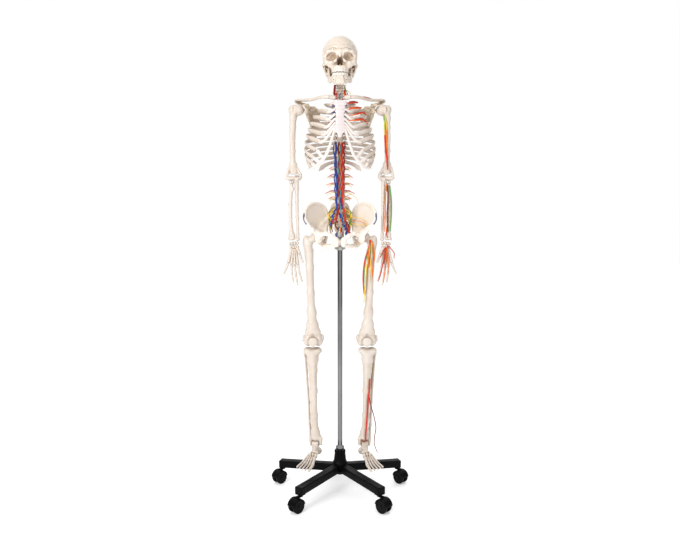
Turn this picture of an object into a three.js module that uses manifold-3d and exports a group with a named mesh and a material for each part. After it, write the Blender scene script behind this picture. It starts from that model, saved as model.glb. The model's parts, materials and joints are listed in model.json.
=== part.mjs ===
// A life-size teaching skeleton hung on a chrome pole over a five-legged base with twin-wheel casters.
// Millimetres, +Z up. The origin is on the floor under the pole, the skeleton faces -Y, and its left
// side is on +X. The left side is modelled and the right side is its mirror image.
import * as THREE from "three";
import { mergeVertices } from "three/addons/utils/BufferGeometryUtils.js";
import Module from "manifold-3d";

const wasm = await Module();
wasm.setup();

// Driving dimensions.
const GAP = 0.3;
const HEIGHT = 1794;

const SKULL = { halfWidth: 71, halfDepth: 91, halfHeight: 72, centerY: 14, shell: 6, cutZ: 1742 };
const ORBIT = { x: 32, y: -68, z: 1712, radius: 17 };
const TOOTH_LINE = 1636.5;
const JAW_HINGE = { x: 52, y: 12, z: 1672 };

const SPINE_TOP = 1620;
const THORAX_TOP = 1540;
const LUMBAR_TOP = 1296;
const SACRUM_TOP = 1134;

const SHOULDER = { x: 165, y: 12, z: 1508, head: 23, clear: 27 };
const ELBOW = { x: 184, y: 12, z: 1236, barrel: 8, pocket: 17, halfSpan: 23 };
const WRIST = { x: 183, y: 12, z: 976, radius: 9.5 };
const HIP = { x: 95, y: 6, z: 1005, head: 22, cup: 23, wall: 9 };
const KNEE = { x: 107, y: 8, z: 589, radius: 21, halfWidth: 42 };
const ANKLE = { x: 97, y: 6, z: 178, radius: 13.5, halfWidth: 13, turnOut: THREE.MathUtils.degToRad(17) };
const SOLE_Z = 120;
const PIN = { radius: 3, bore: 3.4, eye: 8, eyeWidth: 6 };

const POLE = { radius: 10, bottom: 72, top: 1030 };
const LEGS = { count: 5, end: 258, stem: 245, halfWidth: 17, top: 92, bottom: 60 };
const CASTER = {
  radius: 25, width: 13, gauge: 12, trail: 20, hood: 27.5, axle: 3, stem: 5, turn: Math.PI / 4,
};

const MATERIALS = {
  bone: { color: 0xe9dcc0, roughness: 0.5, metalness: 0 },
  cartilage: { color: 0xefe9da, roughness: 0.4, metalness: 0 },
  steel: { color: 0x9a9a9a, roughness: 0.3, metalness: 1 },
  chrome: { color: 0xd8dadc, roughness: 0.12, metalness: 1 },
  plastic: { color: 0x141415, roughness: 0.45, metalness: 0 },
  tread: { color: 0x1b1b1c, roughness: 0.6, metalness: 0 },
  artery: { color: 0xc23020, roughness: 0.35, metalness: 0 },
  vein: { color: 0x2347a8, roughness: 0.35, metalness: 0 },
};

const skeleton = new THREE.Group();

// ---------------------------------------------------------------- helpers

function signedVolume(vertices, triangles) {
  const corner = (index) => new THREE.Vector3().fromArray(vertices, 3 * triangles[index]);
  let volume = 0;
  for (let index = 0; index < triangles.length; index += 3) {
    volume += corner(index).dot(corner(index + 1).cross(corner(index + 2))) / 6;
  }
  return volume;
}

// Turns a closed geometry into a solid with its faces pointing out.
function solid(geometry) {
  const bare = geometry.clone();
  bare.deleteAttribute("normal");
  bare.deleteAttribute("uv");
  const merged = mergeVertices(bare, 1e-4);
  const vertices = Float32Array.from(merged.getAttribute("position").array);
  const triangles = Uint32Array.from(merged.index.array);
  if (signedVolume(vertices, triangles) < 0) {
    triangles.reverse();
  }
  return new wasm.Manifold(new wasm.Mesh({ numProp: 3, vertProperties: vertices, triVerts: triangles }));
}

function geometryOf(shape) {
  const data = shape.getMesh();
  const geometry = new THREE.BufferGeometry();
  geometry.setAttribute("position", new THREE.BufferAttribute(data.vertProperties, 3));
  geometry.setIndex(new THREE.BufferAttribute(data.triVerts, 1));
  return geometry;
}

function join(shapes) {
  return shapes.reduce((whole, shape) => whole.add(shape));
}

function moved(shape, matrix) {
  return solid(geometryOf(shape).applyMatrix4(matrix));
}

function mirrored(shape) {
  return moved(shape, new THREE.Matrix4().makeScale(-1, 1, 1));
}

function addMesh(parent, name, shape, material) {
  const mesh = new THREE.Mesh(geometryOf(shape), new THREE.MeshStandardMaterial(MATERIALS[material]));
  mesh.name = name;
  parent.add(mesh);
  return mesh;
}

// Adds a left-side shape and its mirror image on the right.
function addPair(name, shape, material) {
  addMesh(skeleton, `${name}_left`, shape, material);
  addMesh(skeleton, `${name}_right`, mirrored(shape), material);
}

// A body through level ellipses. Each ring is [z, centre x, centre y, half width, half depth].
function loft(rings, sides = 8) {
  const last = rings.length - 1;
  const profile = [new THREE.Vector2(0, 0)];
  rings.forEach((ring, row) => profile.push(new THREE.Vector2(1, row)));
  profile.push(new THREE.Vector2(0, last));
  const geometry = new THREE.LatheGeometry(profile, sides);
  const position = geometry.getAttribute("position");
  for (let index = 0; index < position.count; index += 1) {
    const [z, x, y, halfWidth, halfDepth] = rings[Math.round(position.getY(index))];
    const across = position.getX(index) * halfWidth;
    const along = position.getZ(index) * halfDepth;
    position.setXYZ(index, x + across, y - along, z);
  }
  return solid(geometry);
}

// A straight tapered bar between two points.
function bar(from, to, startRadius, endRadius = startRadius, sides = 6) {
  const start = new THREE.Vector3(...from);
  const end = new THREE.Vector3(...to);
  const axis = end.clone().sub(start);
  const geometry = new THREE.CylinderGeometry(endRadius, startRadius, axis.length(), sides);
  const turn = new THREE.Quaternion().setFromUnitVectors(new THREE.Vector3(0, 1, 0), axis.normalize());
  geometry.applyQuaternion(turn);
  geometry.translate(...start.add(end).multiplyScalar(0.5).toArray());
  return solid(geometry);
}

// A tapered limb through a list of points, square to its own direction at every point.
function limb(points, radii, sides = 6) {
  const centers = points.map((point) => new THREE.Vector3(...point));
  const last = centers.length - 1;
  const overall = centers[last].clone().sub(centers[0]).normalize();
  const upright = Math.abs(overall.z) > 0.7;
  const reference = upright ? new THREE.Vector3(0, 1, 0) : new THREE.Vector3(0, 0, 1);
  const profile = [new THREE.Vector2(0, 0)];
  centers.forEach((center, row) => profile.push(new THREE.Vector2(1, row)));
  profile.push(new THREE.Vector2(0, last));
  const geometry = new THREE.LatheGeometry(profile, sides);
  const position = geometry.getAttribute("position");
  for (let index = 0; index < position.count; index += 1) {
    const row = Math.round(position.getY(index));
    const ahead = centers[Math.min(row + 1, last)];
    const behind = centers[Math.max(row - 1, 0)];
    const forward = ahead.clone().sub(behind).normalize();
    const across = reference.clone().addScaledVector(forward, -reference.dot(forward)).normalize();
    const beside = forward.clone().cross(across);
    const place = centers[row].clone();
    place.addScaledVector(across, position.getX(index) * radii[row]);
    place.addScaledVector(beside, position.getZ(index) * radii[row]);
    position.setXYZ(index, ...place.toArray());
  }
  return solid(geometry);
}

function ball(center, radius, sides = 9, rows = 6) {
  return solid(new THREE.SphereGeometry(radius, sides, rows).rotateX(Math.PI / 2).translate(...center));
}

function ellipsoid(center, halves, sides = 12, rows = 8) {
  const geometry = new THREE.SphereGeometry(1, sides, rows).rotateX(Math.PI / 2);
  return solid(geometry.scale(...halves).translate(...center));
}

function block(center, size) {
  return solid(new THREE.BoxGeometry(...size).translate(...center));
}

// A cylinder whose axis lies along X.
function roller(center, radius, width, sides = 16) {
  const geometry = new THREE.CylinderGeometry(radius, radius, width, sides).rotateZ(Math.PI / 2);
  return solid(geometry.translate(...center));
}

// An upright cylinder between two heights.
function post(x, y, bottom, top, radius, sides = 16) {
  return bar([x, y, bottom], [x, y, top], radius, radius, sides);
}

// A bent strip with a rectangular section along a smooth curve.
function strip(points, halfHeight, halfThickness, steps) {
  const shape = new THREE.Shape();
  shape.moveTo(-halfHeight, -halfThickness);
  shape.lineTo(halfHeight, -halfThickness);
  shape.lineTo(halfHeight, halfThickness);
  shape.lineTo(-halfHeight, halfThickness);
  const extrudePath = new THREE.CatmullRomCurve3(points.map((point) => new THREE.Vector3(...point)));
  return solid(new THREE.ExtrudeGeometry(shape, { steps, extrudePath, bevelEnabled: false }));
}

// A round tube along a smooth curve.
function tube(points, radius, steps, sides = 5) {
  const shape = new THREE.Shape();
  for (let index = 0; index < sides; index += 1) {
    const angle = (2 * Math.PI * index) / sides;
    shape.lineTo(radius * Math.cos(angle), radius * Math.sin(angle));
  }
  const extrudePath = new THREE.CatmullRomCurve3(points.map((point) => new THREE.Vector3(...point)));
  return solid(new THREE.ExtrudeGeometry(shape, { steps, extrudePath, bevelEnabled: false }));
}

// A flat plate over three corners.
function plate(corners, thickness) {
  const [a, b, c] = corners.map((corner) => new THREE.Vector3(...corner));
  const along = b.clone().sub(a);
  const normal = along.clone().cross(c.clone().sub(a)).normalize();
  const first = along.clone().normalize();
  const second = normal.clone().cross(first);
  const shape = new THREE.Shape();
  shape.moveTo(0, 0);
  shape.lineTo(along.length(), 0);
  shape.lineTo(c.clone().sub(a).dot(first), c.clone().sub(a).dot(second));
  const geometry = new THREE.ExtrudeGeometry(shape, { depth: thickness, bevelEnabled: false });
  geometry.translate(0, 0, -thickness / 2);
  const frame = new THREE.Matrix4().makeBasis(first, second, normal).setPosition(a);
  return solid(geometry.applyMatrix4(frame));
}

// ---------------------------------------------------------------- head

function skullShell() {
  const { halfWidth, halfDepth, halfHeight, centerY, shell } = SKULL;
  const center = [0, centerY, HEIGHT - halfHeight];
  const outer = ellipsoid(center, [halfWidth, halfDepth, halfHeight]);
  const inner = ellipsoid(center, [halfWidth - shell, halfDepth - shell, halfHeight - shell], 10, 6);
  return { outer, inner };
}

function makeSkullCap() {
  const { outer, inner } = skullShell();
  const above = block([0, 0, SKULL.cutZ + GAP / 2 + 100], [300, 300, 200]);
  return outer.subtract(inner).intersect(above);
}

function makeCranium() {
  const { outer, inner } = skullShell();
  const below = block([0, 0, SKULL.cutZ - GAP / 2 - 100], [300, 300, 200]);
  const face = loft([
    [TOOTH_LINE + 3, 0, -40, 24, 27],
    [TOOTH_LINE + 20, 0, -38, 30, 32],
    [1684, 0, -30, 58, 40],
    [1712, 0, -26, 58, 46],
    [1736, 0, -14, 52, 58],
  ], 10);
  const base = loft([
    [1626, 0, 26, 15, 20],
    [1650, 0, 24, 40, 44],
    [1675, 0, 20, 56, 62],
  ]);
  const hinge = JAW_HINGE;
  let head = join([outer, face, base]).intersect(below).subtract(inner);
  [-1, 1].forEach((side) => {
    const cheek = [[side * 50, -48, 1684], [side * 66, -22, 1681], [side * 64, 14, 1683]];
    head = head.add(limb(cheek, [8, 4.5, 4.5], 5));
    head = head.subtract(ball([side * ORBIT.x, ORBIT.y, ORBIT.z], ORBIT.radius, 8, 6));
    const socket = [side * (hinge.x - 4), hinge.y - 8, hinge.z - 18];
    head = head.subtract(block(socket, [24, 40, 48]));
  });
  const nose = loft([[1667, 0, -80, 12, 22], [1684, 0, -80, 10, 22], [1700, 0, -80, 4, 20]], 6);
  const neckBore = post(0, 35, 1600, 1640, 4.5, 8);
  return head.subtract(nose).subtract(neckBore);
}

function makeMandible() {
  const arch = new THREE.Shape();
  arch.moveTo(47, 14);
  arch.bezierCurveTo(44, -30, 32, -75, 0, -76);
  arch.bezierCurveTo(-32, -75, -44, -30, -47, 14);
  arch.lineTo(-38, 14);
  arch.bezierCurveTo(-35, -26, -22, -62, 0, -63);
  arch.bezierCurveTo(22, -62, 35, -26, 38, 14);
  const bottom = 1591;
  const depth = TOOTH_LINE - 1 - bottom;
  const geometry = new THREE.ExtrudeGeometry(arch, { depth, bevelEnabled: false, curveSegments: 4 });
  const body = solid(geometry.translate(0, 0, bottom));
  const slope = block([0, 20, 1582], [120, 60, 40]);
  const rami = [-1, 1].map((side) => {
    const angle = [side * 43, 10, 1620];
    const top = [side * 47, JAW_HINGE.y, JAW_HINGE.z - 4];
    const condyle = roller([side * 47, JAW_HINGE.y, JAW_HINGE.z], 4.5, 12, 8);
    return join([bar(angle, top, 9, 4, 6), condyle]);
  });
  return join([body, ...rami]).subtract(slope);
}

// ---------------------------------------------------------------- spine

// Spine centre line: forward in the neck, back in the chest, forward in the waist.
function spineY(z) {
  const curve = new THREE.CatmullRomCurve3([
    new THREE.Vector3(1630, 35, 0),
    new THREE.Vector3(1580, 32, 0),
    new THREE.Vector3(THORAX_TOP, 42, 0),
    new THREE.Vector3(1450, 68, 0),
    new THREE.Vector3(1370, 60, 0),
    new THREE.Vector3(LUMBAR_TOP, 40, 0),
    new THREE.Vector3(1215, 30, 0),
    new THREE.Vector3(SACRUM_TOP, 40, 0),
  ]);
  const reach = (1630 - z) / (1630 - SACRUM_TOP);
  let low = 0;
  let high = 1;
  for (let pass = 0; pass < 24; pass += 1) {
    const middle = (low + high) / 2;
    if ((1630 - curve.getPoint(middle).x) / (1630 - SACRUM_TOP) < reach) {
      low = middle;
    } else {
      high = middle;
    }
  }
  return curve.getPoint(low).y;
}

// A run of vertebrae: waisted bodies with a spinous process and two transverse processes each.
function vertebrae({ top, bottom, count, half, wing, spur, drop }) {
  const pitch = (top - bottom) / count;
  const rings = [];
  const processes = [];
  for (let index = 0; index < count; index += 1) {
    const disc = top - index * pitch;
    const waist = disc - pitch / 2;
    const scale = 0.88 + 0.12 * (index / count);
    const y = spineY(waist);
    rings.push([disc, 0, spineY(disc), half[0] * scale, half[1] * scale]);
    rings.push([waist, 0, y, half[0] * scale * 0.86, half[1] * scale * 0.86]);
    const root = [0, y + half[1] * 0.6, waist];
    processes.push(bar(root, [0, y + half[1] + spur, waist - drop], 4.2, 3, 4));
    processes.push(block([0, y + half[1] + 4, waist + 1], [2 * wing, 7, 6]));
  }
  rings.push([bottom, 0, spineY(bottom), half[0], half[1]]);
  return join([loft(rings, 6), ...processes]);
}

function makeCervical() {
  const bones = vertebrae({
    top: SPINE_TOP, bottom: THORAX_TOP + GAP, count: 7, half: [13, 10], wing: 22, spur: 17, drop: 4,
  });
  return bones.add(post(0, 35, SPINE_TOP - 12, SPINE_TOP + 16, 4, 8));
}

function makeThoracic() {
  return vertebrae({
    top: THORAX_TOP, bottom: LUMBAR_TOP + GAP, count: 12, half: [16, 13], wing: 24, spur: 22, drop: 14,
  });
}

function makeLumbar() {
  return vertebrae({
    top: LUMBAR_TOP, bottom: SACRUM_TOP + 2, count: 5, half: [24, 17], wing: 40, spur: 26, drop: 4,
  });
}

function makeSacrum() {
  return loft([
    [SACRUM_TOP, 0, 42, 34, 18],
    [1110, 0, 52, 34, 17],
    [1075, 0, 64, 29, 13],
    [1040, 0, 74, 22, 9],
    [1010, 0, 76, 13, 7],
    [985, 0, 68, 7, 5],
    [968, 0, 58, 4, 4],
  ]);
}

// ---------------------------------------------------------------- rib cage

const RIB = { halfHeight: 6.3, halfThickness: 2.5, backX: 28, pitch: 20.3, first: 1530 };

// Half width and half depth of the chest, front end height and front end angle of each rib.
const RIBS = [
  { halfWidth: 58, halfDepth: 66, frontZ: 1514, frontAngle: 50 },
  { halfWidth: 86, halfDepth: 76, frontZ: 1482, frontAngle: 56 },
  { halfWidth: 103, halfDepth: 84, frontZ: 1452, frontAngle: 60 },
  { halfWidth: 115, halfDepth: 88, frontZ: 1422, frontAngle: 60 },
  { halfWidth: 124, halfDepth: 91, frontZ: 1394, frontAngle: 58 },
  { halfWidth: 131, halfDepth: 92, frontZ: 1366, frontAngle: 54 },
  { halfWidth: 136, halfDepth: 92, frontZ: 1332, frontAngle: 50 },
  { halfWidth: 138, halfDepth: 91, frontZ: 1304, frontAngle: 44 },
  { halfWidth: 136, halfDepth: 89, frontZ: 1284, frontAngle: 39 },
  { halfWidth: 130, halfDepth: 86, frontZ: 1270, frontAngle: 33 },
  { halfWidth: 122, halfDepth: 84, frontZ: 1272, frontAngle: -2 },
  { halfWidth: 108, halfDepth: 82, frontZ: 1268, frontAngle: -38 },
];

function ribPoint(index, share) {
  const { halfWidth, halfDepth, frontZ, frontAngle } = RIBS[index];
  const backZ = RIB.first - RIB.pitch * index;
  const backAngle = -Math.acos(RIB.backX / halfWidth);
  const angle = THREE.MathUtils.lerp(backAngle, THREE.MathUtils.degToRad(frontAngle), share);
  const centerY = spineY(backZ) + 20 - halfDepth;
  const fall = 0.35 * share + 0.65 * share * share;
  const z = THREE.MathUtils.lerp(backZ, frontZ, fall);
  return [halfWidth * Math.cos(angle), centerY - halfDepth * Math.sin(angle), z];
}

function ribPoints(index) {
  return Array.from({ length: 7 }, (unused, step) => ribPoint(index, step / 6));
}

function makeFloatingRib(index) {
  return strip(ribPoints(index), RIB.halfHeight, RIB.halfThickness, 5);
}

// Heights where the cartilages of ribs 1 to 7 meet the breastbone.
const STERNAL_Z = [1516, 1488, 1468, 1450, 1434, 1421, 1410];
const STERNUM = { halfWidth: 17, topZ: 1531, bottomZ: 1372, thickness: 9 };

function sternumY(z) {
  return THREE.MathUtils.mapLinear(z, STERNUM.topZ, STERNUM.bottomZ, -82, -104);
}

// Where the cartilages of ribs 7 to 10 meet along the chest's lower edge, from the middle outward.
const EDGE = [[44, -95, 1338], [56, -92, 1308], [76, -82, 1288], [93, -70, 1273]];

// The cartilage of ribs 1 to 7 dips and climbs to the breastbone, and 8 to 10 run along the lower edge.
function cartilagePoints(index) {
  const [x, y, z] = ribPoint(index, 1);
  if (index > 6) {
    return EDGE.slice(index - 7, index - 4).reverse();
  }
  const endZ = STERNAL_Z[index];
  const end = [STERNUM.halfWidth + 5, sternumY(endZ), endZ];
  if (index === 6) {
    return [EDGE[1], end];
  }
  return [[(2 * x + end[0]) / 3, (2 * y + end[1]) / 3 - 3, z - 2 + 0.12 * (endZ - z)], end];
}

function makeRibCage() {
  const pieces = RIBS.slice(0, 10).map((rib, index) => {
    const points = [...ribPoints(index), ...cartilagePoints(index)];
    return strip(points, RIB.halfHeight, RIB.halfThickness, 10);
  });
  const ends = [STERNAL_Z[0] + 4, STERNAL_Z[6] - 4];
  const border = ends.map((z) => [STERNUM.halfWidth + 4, sternumY(z), z]);
  pieces.push(strip(border, 2.5, 2.5, 1));
  return join(pieces);
}

function makeSternum() {
  const slices = [
    [1531, 22], [1512, 21], [1494, 13], [1470, 14], [1430, 15], [1406, 12], [1392, 7], [1372, 4],
  ];
  const rings = slices.map(([z, halfWidth]) => [z, 0, sternumY(z), halfWidth * 0.8, STERNUM.thickness / 2]);
  return loft(rings.reverse());
}

// ---------------------------------------------------------------- shoulder girdle and arms

// A ball head's joint: a pin along X that turns in the socket, with a flat eye at the ball's centre.
function makeLinkPin({ x, y, z }, length) {
  const eye = bar([x, y - PIN.eyeWidth / 2, z], [x, y + PIN.eyeWidth / 2, z], PIN.eye, PIN.eye, 12);
  const rod = bar([x, y, z], [x - length, y, z], PIN.radius, PIN.radius, 8);
  return eye.add(rod);
}

// The slot in a ball head that lets the pin swing from level to upright.
function linkSlot({ x, y, z, head }) {
  const halfWidth = PIN.eyeWidth / 2 + GAP;
  const round = bar([x, y - halfWidth, z], [x, y + halfWidth, z], PIN.eye + 0.6, PIN.eye + 0.6, 12);
  const reach = head + 12;
  const size = [reach + PIN.radius + 1, 2 * halfWidth, reach + PIN.radius + 1];
  const middle = (reach - PIN.radius - 1) / 2;
  return round.add(block([x - middle, y, z + middle], size));
}

function makeScapula() {
  const { x, y, z, clear } = SHOULDER;
  const upper = [92, 90, 1522];
  const lower = [100, 96, 1410];
  const neck = [x - clear - 5, y + 12, z - 4];
  const blade = plate([upper, lower, neck], 5);
  const socket = bar([x - clear - 12, y, z], [x - clear, y, z], 9, 13, 8);
  const spine = limb([[98, 84, 1516], [140, 58, 1530], [168, 34, 1541], [175, 24, 1540]], [4, 5, 6, 5]);
  const border = limb([upper, lower, neck], [4, 4, 6], 4);
  const bracket = bar([137, 30, 1510], [140, 58, 1528], 5, 5, 5);
  const bore = bar([x - 60, y, z], [x, y, z], PIN.bore, PIN.bore, 8);
  return join([blade, socket, spine, border, bracket]).subtract(bore);
}

function makeClavicle() {
  const line = [[27, -80, 1535], [60, -72, 1537], [110, -20, 1540], [152, 12, 1546], [168, 22, 1549.5]];
  return tube(line, 5.5, 8);
}

function makeHumerus() {
  const { x, y, z, head } = SHOULDER;
  const shaft = loft([
    [ELBOW.z - 10, ELBOW.x, ELBOW.y, 27, 8],
    [ELBOW.z, ELBOW.x, ELBOW.y, 30, 9],
    [ELBOW.z + 16, ELBOW.x, ELBOW.y, 27, 9],
    [1280, 187, 12, 15, 10],
    [1340, 189, 12, 11.5, 11.5],
    [1440, 188, 12, 12.5, 12.5],
    [1480, 187, 12, 16, 15],
    [1515, 186, 12, 19, 18],
    [1528, 184, 12, 12, 12],
  ]);
  const pocket = roller([ELBOW.x, ELBOW.y, ELBOW.z], ELBOW.pocket, 2 * ELBOW.halfSpan, 14);
  const barrel = roller([ELBOW.x, ELBOW.y, ELBOW.z], ELBOW.barrel, 54, 10);
  return shaft.add(ball([x, y, z], head)).subtract(linkSlot(SHOULDER)).subtract(pocket).add(barrel);
}

function makeUlna() {
  const { y, z, barrel } = ELBOW;
  const hookX = 172.5;
  const hook = roller([hookX, y, z], barrel + 7, 17, 14);
  const hollow = roller([hookX, y, z], barrel + 0.8, 30, 14);
  const mouth = block([hookX, y - 20, z + 14], [30, 40, 28]);
  const shaft = loft([
    [988, 168, 12, 7.5, 8],
    [1010, 168, 12, 6, 6],
    [1080, 170, 12, 6, 6],
    [1150, 172, 13, 6.5, 7],
    [1200, 173, 13, 8, 8],
    [z - barrel - 2, 173, 13, 8, 8],
  ]);
  return shaft.add(hook).subtract(hollow).subtract(mouth);
}

function makeRadius() {
  return loft([
    [989, 191, 12, 14.5, 10.5],
    [1002, 191, 12, 13, 9],
    [1015, 192, 12, 9, 8],
    [1050, 196, 12, 7, 7],
    [1120, 197, 12, 6.5, 6.5],
    [1190, 194, 12, 6, 6.5],
    [1212, 193, 12, 7, 7],
    [ELBOW.z - ELBOW.barrel - 1, 193, 12, 8.5, 8.5],
  ]);
}

// Thumb to little finger: wrist end, knuckle, two finger joints and tip.
const FINGERS = [
  [[172, 8, 962], [160, 2, 935], [154, -1, 917], [147, -4, 900]],
  [[176, 12, 958], [168, 8, 894], [161, 4, 858], [155, 3, 839], [150, 3, 824]],
  [[182, 12, 958], [181, 8, 890], [175, 4, 849], [171, 3, 826], [168, 3, 809]],
  [[187, 12, 958], [194, 8, 894], [191, 4, 856], [188, 3, 837], [186, 3, 821]],
  [[192, 12, 960], [206, 9, 900], [214, 6, 876], [220, 5, 863], [226, 5, 853]],
];

function makeHand() {
  const { x, y, z, radius } = WRIST;
  const carpus = loft([[z - 24, x, y, 17, 8], [z - 12, x, y, 20, 9], [z, x, y, 19, radius]]);
  const knuckle = roller([x, y, z], radius, 38, 12);
  const fingers = FINGERS.map((points) => limb(points, [5, 5, 4, 3.5, 3], 5));
  return join([carpus, knuckle, ...fingers]);
}

// ---------------------------------------------------------------- pelvis and legs

function makeHipBone() {
  const { x, y, z, cup, wall } = HIP;
  const apex = [92, 22, 1030];
  const crest = [
    [128, -42, 1050], [138, -34, 1076], [134, -4, 1113], [106, 42, 1139], [68, 76, 1128], [46, 74, 1082],
  ];
  const pieces = [ball([x, y, z], cup + wall, 10, 6)];
  for (let index = 1; index < crest.length; index += 1) {
    pieces.push(plate([apex, crest[index - 1], crest[index]], 6));
  }
  pieces.push(limb(crest, crest.map(() => 4.5), 4));
  pieces.push(bar(apex, crest[0], 9, 5));
  pieces.push(bar(apex, [46, 66, 1080], 10, 8));
  const pubis = [9, -40, 984];
  const sit = [62, 26, 966];
  pieces.push(limb([[80, -10, 1008], pubis, [11, -36, 968], [40, -8, 961], sit], [9, 8, 7, 6, 9]));
  pieces.push(bar(sit, [88, 26, 1004], 10, 12));
  const leftHalf = block([GAP + 150, 0, 1050], [300, 300, 300]);
  const socket = ball([x, y, z], cup + 1, 10, 7);
  const open = bar([x + 8, y, z], [x + 60, y, z - 20], cup + 14, cup + 30, 8);
  const bore = bar([x - 60, y, z], [x, y, z], PIN.bore, PIN.bore, 8);
  return join(pieces).intersect(leftHalf).subtract(socket).subtract(open).subtract(bore);
}

function makeFemur() {
  const { x, y, z, head } = HIP;
  const shaft = loft([
    [KNEE.z - 2, KNEE.x, KNEE.y - 2, 38, 17],
    [KNEE.z + 16, KNEE.x, 3, 38, 16],
    [KNEE.z + 34, KNEE.x, -1, 30, 15],
    [KNEE.z + 64, 110, 0, 25, 16],
    [700, 113, 2, 18.5, 16],
    [780, 117, 4, 16, 15.5],
    [880, 120, 6, 15.5, 15.5],
    [930, 123, 8, 16, 16],
    [970, 128, 10, 20, 17],
    [1000, 134, 10, 14, 14],
    [1011, 134, 10, 7, 9],
  ]);
  const neck = bar([x, y, z], [130, 9, 985], 12, 14, 8);
  const condyles = roller([KNEE.x, KNEE.y, KNEE.z], KNEE.radius, 2 * KNEE.halfWidth, 16);
  const notch = block([KNEE.x, KNEE.y + 14, KNEE.z - 12], [18, 40, 30]);
  return join([shaft, neck, condyles, ball([x, y, z], head)]).subtract(notch).subtract(linkSlot(HIP));
}

function makePatella() {
  const front = KNEE.y - KNEE.radius - 9;
  return ellipsoid([KNEE.x, front, KNEE.z - 3], [19, 8, 22], 10, 6);
}

function makeTibia() {
  const { x, y, z, radius, halfWidth, turnOut } = ANKLE;
  const shaft = loft([
    [z + 12, x - 2, y, 15.5, 14],
    [z + 27, x - 2, y, 14.5, 14],
    [z + 50, x + 3, 5, 14, 14],
    [290, 101, 3, 12, 12],
    [380, 105, 3, 13, 14],
    [470, 107, 4, 16, 17],
    [520, 109, 6, 24, 19],
    [548, 112, 8, 38, 21],
    [KNEE.z - KNEE.radius - 4, 112, 8, 38, 22],
  ]);
  const inner = [x - 19 * Math.cos(turnOut), y - 19 * Math.sin(turnOut)];
  const malleolus = bar([...inner, z - 2], [...inner, z + 20], 4, 6, 6);
  const talusRoom = ankleRoller(radius + 1.2, 2 * (halfWidth + 1));
  const seat = roller([KNEE.x, KNEE.y, KNEE.z], KNEE.radius + 1.5, 100, 16);
  return join([shaft, malleolus]).subtract(talusRoom).subtract(seat);
}

function makeFibula() {
  const { x, y, z, turnOut } = ANKLE;
  const outer = [x + 20.5 * Math.cos(turnOut), y + 20.5 * Math.sin(turnOut)];
  const line = [[...outer, z - 6], [...outer, z + 16], [124, 18, 290], [132, 23, 430], [141, 28, 540]];
  return limb(line, [4.5, 5.5, 5, 5, 6.5]);
}

// A cylinder on the ankle's own axis, which is turned out with the foot.
function ankleRoller(radius, width) {
  const cylinder = new THREE.CylinderGeometry(radius, radius, width, 14).rotateZ(Math.PI / 2);
  return solid(cylinder.rotateZ(ANKLE.turnOut).translate(ANKLE.x, ANKLE.y, ANKLE.z));
}

// Great toe to little toe: sideways place and length of each ray in the foot's own frame.
const TOES = [[-20, 156], [-8, 152], [3, 145], [14, 137], [24, 127]];

function makeFoot() {
  const floor = SOLE_Z - ANKLE.z;
  const heel = loft([[floor, 3, 40, 13, 16], [floor + 20, 2, 36, 13, 17], [floor + 38, 0, 22, 12, 17]]);
  const talus = block([0, 0, -14], [22, 30, 26]);
  const arch = limb([[0, 14, -24], [2, -30, -32], [2, -64, -44]], [13, 14, 11], 7);
  const rays = TOES.map(([across, length]) => limb([
    [across * 0.35, -52, floor + 17],
    [across, -0.66 * length, floor + 8],
    [across * 1.15, -0.86 * length, floor + 7],
    [across * 1.2, -length, floor + 5],
  ], [8, 6, 5, 4.5], 5));
  const foot = moved(join([heel, talus, arch, ...rays]), new THREE.Matrix4().makeRotationZ(ANKLE.turnOut));
  const placed = moved(foot, new THREE.Matrix4().makeTranslation(ANKLE.x, ANKLE.y, ANKLE.z));
  return placed.add(ankleRoller(ANKLE.radius, 2 * ANKLE.halfWidth));
}

// ---------------------------------------------------------------- stand

function makeStarBase() {
  const hub = loft([
    [61, 0, 0, 15, 15], [80, 0, 0, 22, 22], [96, 0, 0, 29, 29],
    [116, 0, 0, 29, 29], [122, 0, 0, 24, 24], [157, 0, 0, 21, 21],
  ], 12);
  const side = new THREE.Shape();
  side.moveTo(8, 66);
  side.lineTo(LEGS.end - 40, LEGS.bottom);
  side.lineTo(LEGS.end, LEGS.bottom);
  side.lineTo(LEGS.end, LEGS.top - 5);
  side.lineTo(LEGS.end - 5, LEGS.top);
  side.lineTo(60, LEGS.top + 4);
  side.lineTo(8, LEGS.top + 16);
  const leg = new THREE.ExtrudeGeometry(side, { depth: 2 * LEGS.halfWidth, bevelEnabled: false });
  leg.translate(0, 0, -LEGS.halfWidth).rotateX(Math.PI / 2);
  const legs = [];
  for (let index = 0; index < LEGS.count; index += 1) {
    const stemHole = post(LEGS.stem, 0, LEGS.bottom - 5, LEGS.bottom + 22, CASTER.stem + 0.8, 8);
    const turn = new THREE.Matrix4().makeRotationZ(legAngle(index));
    legs.push(moved(solid(leg).subtract(stemHole), turn));
  }
  return join([hub, ...legs]).subtract(post(0, 0, POLE.bottom, 200, POLE.radius + GAP, 14));
}

// The first leg points straight back (+Y), so two legs point forward.
function legAngle(index) {
  return Math.PI / 2 + (2 * Math.PI * index) / LEGS.count;
}

// The casters trail forward, and those to the sides also point outward.
function casterTurn(angle) {
  return CASTER.turn * Math.sign(Math.round(Math.cos(angle)));
}

function makePole() {
  const tip = bar([0, 0, POLE.top], [0, 0, POLE.top + 12], POLE.radius, 5, 14);
  return post(0, 0, POLE.bottom + GAP, POLE.top, POLE.radius, 14).add(tip);
}

function makePoleBracket() {
  const collar = post(0, 0, 1002, 1022, POLE.radius + 6, 12);
  const arm = block([0, 39, 1012], [16, 56, 12]);
  return collar.add(arm).subtract(post(0, 0, 990, 1030, POLE.radius + GAP, 14));
}

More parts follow.
